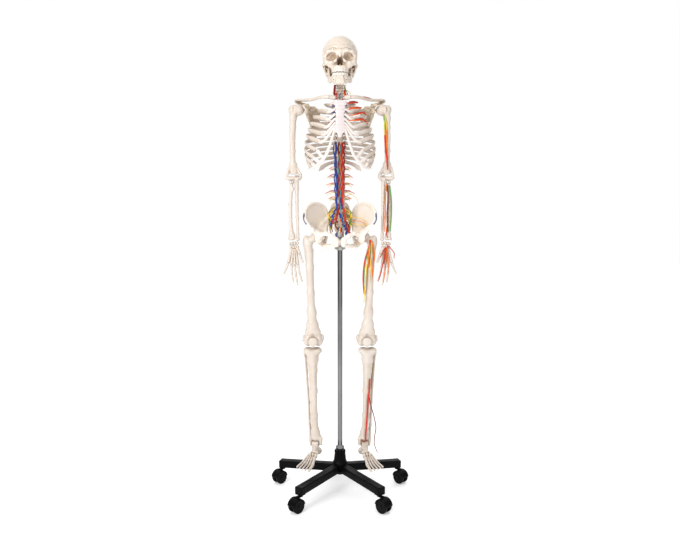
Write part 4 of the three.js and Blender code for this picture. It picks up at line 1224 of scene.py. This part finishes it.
def make_patella():
    clay = Clay((-24, -12, -26), (24, 12, 26), 1.1, 6, (107, -22, 586))
    clay.add(egg((0, 0.5, 3), (19, 7.5, 17)))
    clay.add(rod((0, 1, -6), (0, 1, -18), 6, 3))
    bone_pair(clay, "patella", "thigh")


def make_tibia():
    clay = Clay((66, -30, 166), (158, 44, 572), 1.5, 7)
    for x in (91, 128):
        clay.add(egg((x, 9, 550), (19.5, 21, 13.6)), 8)
    shaft = [(109, 8, 536), (109, 6, 512), (108, 4, 470), (106, 3, 390)]
    shaft += [(103, 3, 290), (99, 5, 232), (96, 6, 206)]
    clay.add(stroke(shaft, (24, 20, 15.6, 14.2, 12.6, 13.0, 14.5), OUT, 1.08), 10)
    clay.add(rod((97, 6, 222), (95, 5, 205), 12, 14, OUT, 1.35), 9)
    clay.add(stroke([(107, -8, 528), (106, -9, 500), (104, -8, 440), (101, -5, 340)], (8, 6, 4.5, 4)), 7)
    inner = ANKLE + FOOT_TURN @ np.array([-19.0, 0, 0])
    clay.add(rod(inner + (-1, 0, 22), inner + (-2, 0, 1), 9, 6.5), 6)
    clay.carve(reel(ANKLE, 14.7, 14.2, FOOT_TURN), 1.5)
    clay.carve(block((107, 8, 580), (60, 60, 15.5)), 1.5)
    bone_pair(clay, "tibia", "shank")


def make_fibula():
    outer = ANKLE + FOOT_TURN @ np.array([20.5, 0, 0])
    clay = Clay((106, 0, 162), (156, 44, 556), 1.2, 5)
    line = [outer + (0, 0, -5), outer + (0, 0, 16), (122, 17, 250)]
    line += [(126, 19, 340), (132, 23, 430), (139, 27, 526)]
    clay.add(stroke(line, (5.6, 7.4, 4.8, 4.8, 4.8, 5.6)), 5)
    clay.add(egg((140, 27, 536), (8, 8.5, 10)), 6)
    bone_pair(clay, "fibula", "shank")


# Great toe to little toe: sideways place and length of each ray in the foot's own frame.
TOES = ((-20, 156), (-8, 152), (3, 145), (14, 137), (24, 127))


def make_foot():
    clay = Clay((-40, -166, -62), (42, 64, 20), 1.0, 1.5)
    clay.add(reel((0, 0, 0), 13.2, 12.6), 1)
    clay.add([egg((0, -3, -12), (13, 18, 12)), rod((-1, -10, -15), (-4, -24, -21), 12, 11)], 5)
    heel = clay.emptied()
    heel.add([rod((3, 4, -32), (3, 40, -40), 10, 12), egg((3, 44, -44), (12, 12.5, 13.5))], 8)
    heel.add(rod((8, 0, -34), (11, -18, -37), 9, 8.5), 7)
    clay.merge(heel)
    for center, radii in (
        ((-6, -33, -25), (17, 7, 10)), ((14, -35, -38), (10, 13, 9.5)), ((-16, -45, -33), (7, 8.5, 10)),
        ((-5, -44, -30), (6, 7.5, 8.5)), ((6, -45, -32), (6, 8.5, 8.5)),
    ):
        clay.add(egg(center, radii), 0.8)
    for number, (across, length) in enumerate(TOES):
        stops = [(across * 0.72, -50, -35), (across * 1.12, -0.66 * length, -50)]
        stops += [(across * 1.24, -0.86 * length, -51), (across * 1.3, -length, -53)]
        radii = (6.2, 5.4, 4.5) if number == 0 else (4.1, 3.3, 3.0)
        for start, end, radius in zip(stops[:-1], stops[1:], radii):
            small_bone(clay, start, end, radius, 3)
    pattern = clay.mesh("foot_pattern", BONE)
    foot = transformed(pattern, "foot_left", lambda places: places @ FOOT_TURN.T + ANKLE * MM)
    bpy.data.objects.remove(pattern)
    pair(foot, "foot", "ankle", "foot")


# ---------------------------------------------------------------- stand

LEG_COUNT = 5
STEM_OUT = 245.0
CASTER = {"radius": 25.0, "width": 13.0, "gauge": 12.0, "trail": 20.0, "hood": 27.4}
HUB_PROFILE = (
    (10.4, 61.5), (14, 61.5), (15.5, 64), (16, 78), (24, 82), (29, 84), (30, 86), (30, 93),
    (28.6, 94), (28.6, 97), (30, 98), (30, 107), (28.4, 110), (26, 113), (24.4, 118),
    (21.4, 146), (22.2, 147.5), (22.2, 154), (21, 156.6), (11.5, 156.9), (10.4, 156),
)


def lathe(name, profile, material, sides=64):
    """A turned piece around the upright axis, from a closed outline of radii and heights."""
    angles = np.linspace(0, 2 * np.pi, sides, endpoint=False)
    places = [
        (radius * math.cos(angle), radius * math.sin(angle), z)
        for radius, z in profile for angle in angles
    ]
    faces = []
    for ring in range(len(profile)):
        following = (ring + 1) % len(profile)
        for side in range(sides):
            after = (side + 1) % sides
            low, high = ring * sides, following * sides
            faces.append((low + side, low + after, high + after, high + side))
    return make_piece(name, np.array(places) * MM, faces, material)


def leg_turn(index):
    return np.array(Matrix.Rotation(math.pi / 2 + 2 * math.pi * index / LEG_COUNT, 3, "Z"))


def caster_turn(index):
    """The casters trail forward, and those to the sides also point outward."""
    side = round(leg_turn(index)[0, 0])
    return turned(45 * side, "Z")


def make_base():
    """A turned hub and five sloping legs, hollow underneath, each with a stem hole near its end."""
    leg = Clay((6, -24, 50), (266, 24, 116), 1.3, 2)
    leg.add(pad((138, 0, 81), (120, 16.5, 14.5), 3.5, turned(3.2, "Y")), 2)
    leg.add(pad((246, 0, 74), (11.5, 17.2, 14.5), 3), 2)
    leg.carve(pad((128, 0, 60), (96, 12, 12), 3), 2)
    leg.carve(reel((STEM_OUT, 0, 66), 6, 20, UPRIGHT), 0.5)
    leg.add(reel((STEM_OUT, 0, 84), 8, 3, UPRIGHT), 1)
    pattern = leg.mesh("leg_pattern", BLACK)
    pieces = [lathe("hub", HUB_PROFILE, BLACK)]
    for index in range(LEG_COUNT):
        turn = leg_turn(index)
        pieces.append(transformed(pattern, "leg", lambda places, turn=turn: places @ turn.T))
    bpy.data.objects.remove(pattern)
    settle(joined(pieces, "star_base"), "root", ("star_base",))


def make_pole():
    low, high = box_mm("pole")
    top = high[2]
    bottom = low[2]
    profile = [(0.01, bottom), (9.9, bottom), (10, bottom + 1)]
    profile += [(10, top - 9), (9, top - 4), (6, top - 1), (0.01, top)]
    settle(lathe("pole", profile, CHROME, 48), "root", ("pole",))


def screw(name, place, outward, radius=5.5, length=6.0):
    """A slotted screw head with its shank end, pointing outward."""
    outward = np.array(outward, float)
    turn = np.array(Vector(outward).to_track_quat("X", "Z").to_matrix())
    clay = Clay((-12, -12, -12), (12, 12, 12), 0.5, 0.8, place)
    clay.add(reel(outward * (-length / 2), radius * 0.46, length / 2, turn))
    clay.add(reel(outward * 2.2, radius, 1.9, turn), 0.6)
    clay.carve(block(outward * 4.2, (0.9, radius + 1, 0.7), turn), 0.2)
    return clay.mesh(name, STEEL)


BRACKET_Z, CLAMP_Z, POLE_BORE = 1012, 958, 10.3


def make_pole_fixings():
    collar = Clay((-20, -20, -14), (20, 72, 14), 1.0, 2, (0, 0, BRACKET_Z))
    collar.add(reel((0, 0, 0), 16, 10, UPRIGHT), 1)
    collar.add(pad((0, 40, 0), (8, 27, 6), 2), 3)
    collar.carve(reel((0, 0, 0), POLE_BORE, 30, UPRIGHT), 0.5)
    settle(collar.mesh("pole_bracket", STEEL), "root", ("pole_bracket",))
    clamp = Clay((-22, -20, -12), (22, 20, 12), 0.8, 1.5, (0, 0, CLAMP_Z))
    clamp.add(reel((0, 0, 0), 14, 8, UPRIGHT), 1)
    clamp.add([pad((13 * side, 0, 0), (4, 5, 5), 1.5) for side in (-1, 1)], 2)
    clamp.carve(reel((0, 0, 0), POLE_BORE, 30, UPRIGHT), 0.5)
    pieces = [clamp.mesh("pole_clamp", STEEL)]
    pieces += [screw("screw", (17.5 * side, 0, CLAMP_Z), (side, 0, 0), 4.5, 5.0) for side in (-1, 1)]
    settle(joined(pieces, "pole_clamp"), "root", ("pole_clamp",))


def caster_patterns():
    """A yoke and a pair of wheels, around the foot of the stem's axis on the floor."""
    radius, width, gauge, trail = (CASTER[key] for key in ("radius", "width", "gauge", "trail"))
    axle = (0, -trail, radius)
    span = gauge / 2 + width
    yoke = Clay((-22, -52, 0), (22, 14, 82), 0.9, 2)
    yoke.add(reel(axle, CASTER["hood"], span), 1)
    yoke.carve(reel(axle, radius + 0.7, span + 9), 0.4)
    yoke.carve(block((0, -trail, -20), (40, 60, 47)), 1)
    yoke.add(pad((0, -trail + 1, radius + 8), (gauge / 2 - 0.8, 11.5, 17.5), 1.5), 2)
    yoke.add(pad((0, -9, 54), (7.5, 14.5, 2.7), 1.2), 2)
    yoke.add(reel((0, 0, 66), 5, 13, UPRIGHT), 0.5)
    yoke.add(reel((0, 0, 57), 8.5, 1.6, UPRIGHT), 0.5)
    yoke.carve(reel(axle, 3.6, 40), 0.3)
    wheels = Clay((-22, -50, -3), (22, 8, 54), 0.9, 1)
    for side in (-1, 1):
        middle = side * (gauge + width) / 2
        wheels.add(reel((middle, -trail, radius), radius - 1.2, width / 2 - 0.8), 0.5)
        wheels.add(reel((middle, -trail, radius), radius - 0.1, width / 2 - 2.2), 1.5)
        wheels.carve(reel((side * span, -trail, radius), 17.5, 1.8), 1)
        wheels.add(egg((side * (span - 2.4), -trail, radius), (2.6, 9, 9)), 1)
        wheels.carve(reel((side * span, -trail, radius), 3, 1.5), 0.5)
    wheels.add(reel(axle, 2.9, gauge / 2 + 1), 0.5)
    return yoke.mesh("yoke_pattern", BLACK), wheels.mesh("wheels_pattern", TREAD)


def make_casters():
    patterns = caster_patterns()
    for index in range(LEG_COUNT):
        stem = leg_turn(index) @ np.array([STEM_OUT, 0, 0]) * MM
        number = index + 1
        for pattern, kind, body, slot in (
            (patterns[0], "caster_yoke", f"caster_{number}", "black_plastic"),
            (patterns[1], "caster_wheels", f"wheels_{number}", "wheel_plastic"),
        ):
            turn = caster_turn(index)
            copy = transformed(pattern, f"{kind}_{number}", lambda places: places @ turn.T + stem)
            settle(copy, body, (f"{kind}_{number}",))
    for pattern in patterns:
        bpy.data.objects.remove(pattern)


# ---------------------------------------------------------------- fixings in the bones


def coil(name, start, end, radius, wire, turns):
    """A wire spring wound around a line that runs along X."""
    a, b = np.array(start, float), np.array(end, float)
    count = turns * 10 + 1
    angles = np.linspace(0, 2 * np.pi * turns, count)
    line = a + (b - a) * np.linspace(0, 1, count)[:, None]
    line = line + np.stack([0 * angles, radius * np.cos(angles), radius * np.sin(angles)], 1)
    return sweep(name, line, (wire, wire), STEEL, 8, rings=count)


def make_ball_pins():
    for body, place, length in (("shoulder", SHOULDER, 35.5), ("hip", HIP, 33.5)):
        kind = f"{body}_pin"
        reach = np.array([length, 0, 0])
        rod_piece = sweep("rod", [place, place - reach / 2, place - reach], (2.9, 2.9), STEEL, 16)
        spring = coil("spring", place - (14, 0, 0), place - reach + (2, 0, 0), 3.5, 0.8, 9)
        eye = Clay((-10, -6, -10), (10, 6, 10), 0.8, 0.5, place)
        eye.add(reel((0, 0, 0), 7.8, 2.8, turned(90, "Z")), 0.5)
        piece = joined([rod_piece, spring, eye.mesh("eye", STEEL)], f"{kind}_left")
        pair(piece, kind, body, kind)


def make_screws():
    for name, place, outward, body, radius in (
        ("acromion_screw", (174, 19, 1547), (0.35, -0.75, 0.55), "root", 4.6),
        ("elbow_screw", (212, 12, 1237), (1, 0, 0), "upper_arm", 4.2),
        ("knee_screw", (146, 8, 591), (1, 0, 0), "thigh", 4.6),
        ("ankle_screw", (112, 12, 180), (0.92, 0.38, 0), "ankle", 3.6),
    ):
        pair(screw(f"{name}_left", place, outward, radius), name, body)


# ---------------------------------------------------------------- vessels and nerves

# Each strand is a material, a radius and its points.
TRUNK_ARTERIES = (
    (RED, 4.8, ((9, 4, 1374), (8, 1, 1300), (9, -2, 1200), (11, -2, 1135), (15, -4, 1098))),
    (RED, 4.6, ((14, -4, 1104), (20, -8, 1068), (31, -14, 1036), (38, -22, 1010))),
    (RED, 3.6, ((9, 0, 1142), (0, -6, 1116), (-14, -10, 1086), (-28, -14, 1058))),
    (DARK_RED, 3.8, ((-4, -2, 1376), (-6, -5, 1290), (-3, -8, 1200), (-4, -9, 1130), (-10, -12, 1096))),
    (DARK_RED, 3.0, ((17, 5, 1378), (18, 3, 1330), (15, 1, 1290), (17, 0, 1236), (14, -2, 1190))),
    (DARK_RED, 2.6, ((-9, -12, 1100), (-15, -16, 1070), (-17, -20, 1048), (-12, -22, 1030))),
    (ORANGE, 2.2, ((3, -4, 1371), (4, -8, 1300), (2, -10, 1230), (4, -9, 1160))),
    (ORANGE, 2.0, ((2, -12, 1075), (6, -18, 1050), (2, -24, 1028), (6, -28, 1010))),
    (DARK_RED, 2.0, ((22, -12, 1066), (30, -22, 1034), (28, -28, 1014))),
)
TRUNK_VEINS = (
    (BLUE, 4.6, ((-18, 5, 1376), (-16, 2, 1300), (-13, -1, 1200), (-12, 0, 1128), (-8, -4, 1105))),
    (BLUE, 2.4, ((-24, 6, 1368), (-22, 2, 1290), (-19, 0, 1210), (-17, 2, 1140))),
    (BLUE, 3.2, ((0, 3, 1340), (2, -5, 1280), (-1, -7, 1220), (3, -7, 1160), (6, -10, 1112))),
    (BLUE, 5.2, ((-10, -3, 1110), (2, -9, 1082), (13, -12, 1058), (22, -16, 1034), (28, -22, 1008))),
    (BLUE, 3.2, ((-13, 1, 1124), (-24, 0, 1096), (-34, -6, 1064), (-39, -8, 1046))),
    (BLUE, 2.6, ((-14, -18, 1016), (-18, -24, 1002), (-15, -26, 984), (-10, -24, 968))),
    (TEAL, 2.0, ((0, -9, 1368), (-1, -12, 1290), (-3, -13, 1200), (2, -14, 1120), (8, -18, 1080))),
    (TEAL, 1.8, ((6, -18, 1078), (14, -20, 1058), (10, -26, 1036))),
)
TRUNK_NERVES = (
    (YELLOW, 1.3, (
        (36, 50, 1112), (38, 30, 1084), (58, 18, 1082),
        (88, 6, 1073), (108, -8, 1048), (111, -22, 1022),
    )),
    (YELLOW, 1.2, ((34, 46, 1100), (36, 26, 1066), (58, 16, 1054), (88, 4, 1049), (104, -8, 1046))),
    (ORANGE, 1.2, ((35, 48, 1106), (40, 28, 1076), (62, 18, 1068), (92, 4, 1060), (106, -10, 1040))),
    (YELLOW, 1.1, ((22, 38, 1166), (42, 30, 1174), (60, 26, 1164), (74, 24, 1142))),
    (YELLOW, 1.2, ((-38, 56, 1112), (-42, 44, 1086), (-36, 34, 1058), (-26, 24, 1036))),
    (GREEN, 1.3, ((38, 44, 1096), (44, 32, 1070), (40, 22, 1044), (32, 12, 1022))),
    (YELLOW, 1.2, ((-35, 54, 1104), (-34, 40, 1074), (-30, 26, 1044))),
    (YELLOW, 1.1, ((14, 22, 1592), (28, 15, 1587), (38, 9, 1578), (44, 5, 1569))),
    (YELLOW, 1.1, ((-14, 22, 1592), (-24, 14, 1584), (-30, 8, 1570))),
    (YELLOW, 2.6, ((18, 14, 1568), (24, 2, 1552), (28, -22, 1546))),
    (GREEN, 2.6, ((19, 16, 1602), (21, 10, 1588), (20, 4, 1572))),
    (GREEN, 1.8, ((22, 12, 1590), (30, 4, 1570), (36, -2, 1554))),
)
NECK_VESSELS = (
    (DARK_RED, 4.6, ((-20, 16, 1606), (-22, 10, 1584), (-21, 0, 1560), (-18, -20, 1546))),
    (RED, 2.2, ((-13, 12, 1580), (-13, 2, 1560), (-11, -20, 1545))),
    (ORANGE, 1.8, ((-16, 10, 1572), (-12, 2, 1558), (-15, -18, 1545))),
    (BLUE, 2.0, ((1, 6, 1574), (0, -4, 1560), (0, -18, 1545))),
    (RED, 3.4, ((18, 6, 1584), (22, -2, 1568), (31, -8, 1555), (43, -18, 1547))),
    (ORANGE, 3.8, ((17, 8, 1580), (19, -2, 1562), (17, -22, 1546))),
    (ORANGE, 3.2, ((20, 4, 1574), (25, -6, 1558), (27, -24, 1547))),
    (RED, 2.2, ((23, 0, 1566), (22, -12, 1554), (22, -26, 1547))),
    (RED, 2.2, ((90, -52, 1545), (104, -35, 1546), (122, -15, 1547))),
)
CHEST_STRANDS = (
    (RED, 3.0, ((24, -74, 1513), (44, -68, 1518), (68, -52, 1521))),
    (DARK_RED, 2.0, ((36, -68, 1521), (52, -62, 1524), (70, -46, 1525))),
    (ORANGE, 3.2, ((24, -78, 1486), (52, -68, 1496), (80, -44, 1502))),
    (RED, 2.4, ((38, -76, 1494), (62, -62, 1502), (84, -40, 1505))),
    (ORANGE, 2.2, ((24, -84, 1463), (60, -76, 1470), (86, -56, 1481))),
    (RED, 3.0, ((66, -74, 1474), (88, -54, 1484), (102, -40, 1477))),
    (ORANGE, 2.2, ((26, -90, 1443), (64, -80, 1448), (88, -62, 1452))),
    (RED, 2.8, ((60, -82, 1450), (88, -62, 1455), (108, -44, 1440))),
    (RED, 2.2, ((-22, -94, 1430), (-32, -90, 1437), (-44, -84, 1440))),
)
ARM_STRANDS = (
    (RED, 3.4, ((177, -8, 1402), (180, -7, 1350), (186, -6, 1306), (189, -6, 1270))),
    (GREEN, 2.8, ((175, -3, 1482), (178, -4, 1460), (181, -5, 1424), (181, -5, 1384))),
    (ORANGE, 2.6, ((183, -8, 1424), (184, -6, 1370), (190, -5, 1310))),
    (YELLOW, 2.0, ((178, -5, 1480), (183, -5, 1450), (185, -5, 1400), (187, -4, 1350))),
    (YELLOW, 1.6, ((176, -4, 1466), (175, -3, 1430), (178, -4, 1380))),
)
FOREARM_STRANDS = (
    (ORANGE, 2.2, ((184, 0, 1212), (181, 0, 1160), (179, 0, 1100), (177, 0, 1024))),
    (DARK_RED, 2.6, ((189, 1, 1208), (190, 0, 1150), (187, 0, 1090), (190, 0, 1024))),
    (GREEN, 2.4, ((198, 2, 1206), (204, 1, 1150), (204, 0, 1090), (200, 0, 1026))),
    (YELLOW, 1.6, ((182, 2, 1206), (179, 2, 1140), (182, 1, 1080), (182, 0, 1022))),
    (RED, 1.8, ((187, 0, 1050), (184, 0, 1020), (188, -1, 1000))),
)
HAND_STRANDS = (
    (RED, 2.4, (
        (190, 1, 968), (182, 1, 950), (176, 1, 918),
        (167, -1, 880), (159, -3, 850), (153, -3, 830),
    )),
    (ORANGE, 2.0, ((187, 2, 964), (184, 2, 925), (181, 1, 892), (178, -2, 858), (173, -3, 826))),
    (ORANGE, 1.5, ((189, 2, 962), (190, 2, 925), (193, 1, 894), (191, -2, 858))),
    (RED, 1.8, ((194, 2, 966), (206, 2, 952), (216, 2, 936), (214, 1, 918))),
    (RED, 1.6, ((180, 2, 958), (168, -2, 938), (160, -5, 920))),
)
THIGH_STRANDS = (
    (RED, 3.8, (
        (118, -18, 988), (115, -17, 962), (101, -15, 918),
        (94, -13, 872), (92, -13, 828), (95, -15, 782),
    )),
    (ORANGE, 2.8, ((122, -16, 990), (132, -12, 961), (136, -8, 922), (131, -10, 882), (127, -11, 846))),
    (YELLOW, 2.2, (
        (119, -18, 980), (116, -16, 941), (105, -14, 882),
        (101, -15, 830), (96, -16, 772), (94, -14, 742),
    )),
    (YELLOW, 2.0, ((125, -16, 980), (125, -14, 930), (120, -12, 900), (124, -12, 860), (125, -13, 826))),
    (GREEN, 1.7, ((118, -20, 970), (108, -18, 938), (98, -16, 882), (95, -16, 822), (94, -15, 776))),
    (ORANGE, 1.7, ((117, -20, 976), (112, -18, 930), (112, -13, 880))),
)
SHANK_STRANDS = (
    (RED, 3.2, (
        (118, -10, 438), (116, -14, 394), (111, -17, 350),
        (106, -18, 276), (102, -16, 226), (101, -12, 196),
    )),
    (ORANGE, 1.8, ((114, -14, 384), (109, -17, 330), (104, -17, 262), (100, -14, 212))),
    (DARK_RED, 1.9, (
        (116, -14, 366), (121, -18, 338), (133, -17, 298), (142, -15, 250),
        (137, -15, 214), (136, -16, 184), (148, -18, 150),
    )),
    (BROWN, 2.2, ((134, 12, 520), (127, 8, 450), (122, 4, 394), (118, 0, 350))),
    (DARK_RED, 1.6, ((84, -10, 198), (96, -14, 193), (108, -10, 197))),
)


def wavy(points, sway):
    """The same line with a sway from side to side between its points."""
    line = [points[0]]
    for index, (start, end) in enumerate(zip(points[:-1], points[1:])):
        for share, side in ((0.3, 1), (0.7, -1)):
            x, y, z = (1 - share) * np.array(start) + share * np.array(end)
            line.append((x + side * sway * (-1) ** index, y, z))
        line.append(end)
    return line


def bundle(name, strands, body, nodes=(), sway=0.0):
    """One piece from a group of strands. With a sway, neighbouring strands wave in opposite directions."""
    pieces = []
    for index, (material, radius, points) in enumerate(strands):
        line = wavy(points, sway * (-1) ** index) if sway else points
        radii = (0.9 * radius, radius, radius, 0.75 * radius)
        pieces.append(sweep(f"strand_{index}", line, radii, material, 12, rings=8 * len(line)))
    settle(joined(pieces, name), body, nodes)


def sacral_nerves():
    """A tangle of nerves and small vessels that leaves the sacrum on both sides."""
    strands = []
    for side in (-1, 1):
        for row, z in enumerate((1116, 1098, 1080, 1062)):
            out = 46 - 2 * row
            thick = ((20, 34, z), (34, 30, z - 10), (out, 22, z - 26), (36, 20, z - 44))
            thin = ((24, 32, z + 6), (38, 24, z - 4), (out + 4, 26, z - 22))
            strands.append((BROWN if row % 2 else YELLOW, 2.6, sided(side, thick)))
            strands.append((YELLOW if row % 2 else BROWN, 1.8, sided(side, thin)))
        strands.append((GREEN, 1.6, sided(side, ((40, 26, 1108), (44, 20, 1076), (38, 16, 1040)))))
        strands.append((DARK_RED, 2.4, sided(side, ((28, 22, 1064), (34, 14, 1044), (30, 8, 1024)))))
    return tuple(strands)


def make_hip_strips():
    """The dark strip along the front outer edge of each hip bone."""
    line = [(132, -47, 1052), (139, -41, 1068), (141, -34, 1085), (139, -20, 1101)]
    strip = sweep("hip_strip_left", line, (2.6, 4.2, 4.2, 2.6), SLATE, 12, rings=24)
    pair(strip, "hip_strip", "root")


def lumbar_branches():
    """Short paired vessels and nerve roots that leave the trunk bundle at each waist vertebra."""
    strands = []
    for row, z in enumerate((1280, 1248, 1216, 1184, 1160)):
        spread = (44, 50, 54, 58, 46)[row]
        for side in (-1, 1):
            fall = 3 + 2 * row % 4
            vessel = ((11, 6, z), (30, 22, z + fall), (spread, 38, z - fall))
            nerve = ((16, 16, z - 6), (34, 26, z - 4), (spread - 6, 36, z - 12))
            strands.append((RED if row % 2 else ORANGE, 1.7, sided(side, vessel)))
            strands.append((YELLOW, 1.1, sided(side, nerve)))
    return tuple(strands)


def rib_end_vessels():
    """Dark vessel stubs beside the breastbone between the upper cartilages."""
    strands = []
    for z in (1503, 1478, 1458, 1440):
        y = sternum_y(z)
        strands.append((BLUE, 2.6, ((-17, y + 9, z), (-24, y + 10, z), (-30, y + 12, z - 1))))
        strands.append((DARK_RED, 2.2, ((-18, y + 8, z + 5), (-29, y + 11, z + 5))))
        strands.append((BLUE, 2.0, ((17, y + 9, z + 2), (27, y + 11, z + 2))))
    return tuple(strands)


def make_vessels():
    bundle("trunk_arteries", TRUNK_ARTERIES, "root", ("trunk_arteries",), 2.5)
    bundle("trunk_veins", TRUNK_VEINS, "root", ("trunk_veins",), 3.0)
    bundle("trunk_nerves", TRUNK_NERVES, "root")
    bundle("sacral_nerves", sacral_nerves(), "root")
    bundle("waist_branches", lumbar_branches(), "root")
    bundle("neck_vessels", NECK_VESSELS, "root")
    bundle("chest_strands", CHEST_STRANDS + rib_end_vessels(), "root")
    bundle("left_arm_vessels", ARM_STRANDS, "upper_arm_left", ("left_arm_vessels",))
    bundle("left_forearm_vessels", FOREARM_STRANDS, "forearm_left")
    bundle("left_hand_vessels", HAND_STRANDS, "wrist_left")
    bundle("left_thigh_vessels", THIGH_STRANDS, "thigh_left", ("left_thigh_vessels",))
    bundle("left_shank_vessels", SHANK_STRANDS, "shank_left")
    make_hip_strips()


# ---------------------------------------------------------------- stage

# The room is bright ahead and behind. Sideways, past these shares of a unit direction, it fades to dark.
ROOM_BRIGHT, ROOM_SIDE = 1.0, 0.2
FADE_START, FADE_END = 0.56, 0.85
FLOOR_SIZE, FLOOR_WHITE, FLOOR_GLOW = 60, 0.97, 0.25
# Name, place, aim, size in metres and power in watts.
LIGHTS = (
    ("key", (-2.2, -3.0, 2.6), (0, 0, 1.1), 1.6, 85),
    ("fill", (2.6, -2.6, 1.6), (0, 0, 0.9), 2.2, 6),
    ("rim", (0.5, 2.6, 2.6), (0, 0, 1.2), 2.0, 12),
)
CAMERA_PLACE, CAMERA_TILT = (0, -2.34, 0.953), 89.5
CAMERA_LENS, CAMERA_SENSOR, CAMERA_SHIFT = 31.2, 36.0, -0.03


def make_stage():
    """A pale floor that glows a little, so that it meets the room without a line in the front view."""
    floor_material = bpy.data.materials.new("floor")
    floor_material.use_nodes = True
    shader = floor_material.node_tree.nodes["Principled BSDF"]
    shader.inputs["Base Color"].default_value = (FLOOR_WHITE, FLOOR_WHITE, FLOOR_WHITE, 1)
    shader.inputs["Roughness"].default_value = 0.6
    shader.inputs["Emission Color"].default_value = (1, 1, 1, 1)
    shader.inputs["Emission Strength"].default_value = FLOOR_GLOW
    bpy.ops.mesh.primitive_plane_add(size=FLOOR_SIZE)
    floor = bpy.context.object
    floor.name = "floor"
    floor.data.materials.append(floor_material)


def add_light(name, place, target, size, power):
    light = bpy.data.lights.new(name, "AREA")
    light.size = size
    light.energy = power
    holder = bpy.data.objects.new(name, light)
    holder.location = place
    holder.rotation_euler = (Vector(target) - Vector(place)).to_track_quat("-Z", "Y").to_euler()
    bpy.context.scene.collection.objects.link(holder)


def make_surroundings():
    """A white room that is darker to the left and right, so that round pieces show their sides."""
    world = bpy.data.worlds.new("studio")
    world.use_nodes = True
    nodes, links = world.node_tree.nodes, world.node_tree.links
    direction = nodes.new("ShaderNodeTexCoord")
    parts = nodes.new("ShaderNodeSeparateXYZ")
    links.new(direction.outputs["Generated"], parts.inputs[0])
    sideways = nodes.new("ShaderNodeMath")
    sideways.operation = "ABSOLUTE"
    links.new(parts.outputs["X"], sideways.inputs[0])
    strength = nodes.new("ShaderNodeMapRange")
    stops = {"From Min": FADE_START, "From Max": FADE_END, "To Min": ROOM_BRIGHT, "To Max": ROOM_SIDE}
    for name, value in stops.items():
        strength.inputs[name].default_value = value
    links.new(sideways.outputs[0], strength.inputs["Value"])
    nodes["Background"].inputs["Color"].default_value = (1, 1, 1, 1)
    links.new(strength.outputs["Result"], nodes["Background"].inputs["Strength"])
    bpy.context.scene.world = world


def make_lights():
    make_surroundings()
    for light in LIGHTS:
        add_light(*light)


def make_camera():
    camera = bpy.data.objects.new("camera", bpy.data.cameras.new("camera"))
    camera.data.sensor_width = CAMERA_SENSOR
    camera.data.lens = CAMERA_LENS
    camera.data.shift_y = CAMERA_SHIFT
    camera.location = CAMERA_PLACE
    camera.rotation_euler = (math.radians(CAMERA_TILT), 0, 0)
    bpy.context.scene.collection.objects.link(camera)
    bpy.context.scene.camera = camera
    bpy.context.scene.view_settings.view_transform = "Standard"


for make in (
    make_skull, make_jaw, make_teeth, make_spine, make_sacrum, make_ribs, make_sternum, make_scapula,
    make_clavicle, make_humerus, make_ulna, make_radius, make_hand, make_hip_bone, make_pubic_cartilage,
    make_femur, make_patella, make_tibia, make_fibula, make_foot, make_base, make_pole, make_pole_fixings,
    make_casters, make_ball_pins, make_screws, make_vessels, make_stage, make_lights, make_camera,
):
    make()
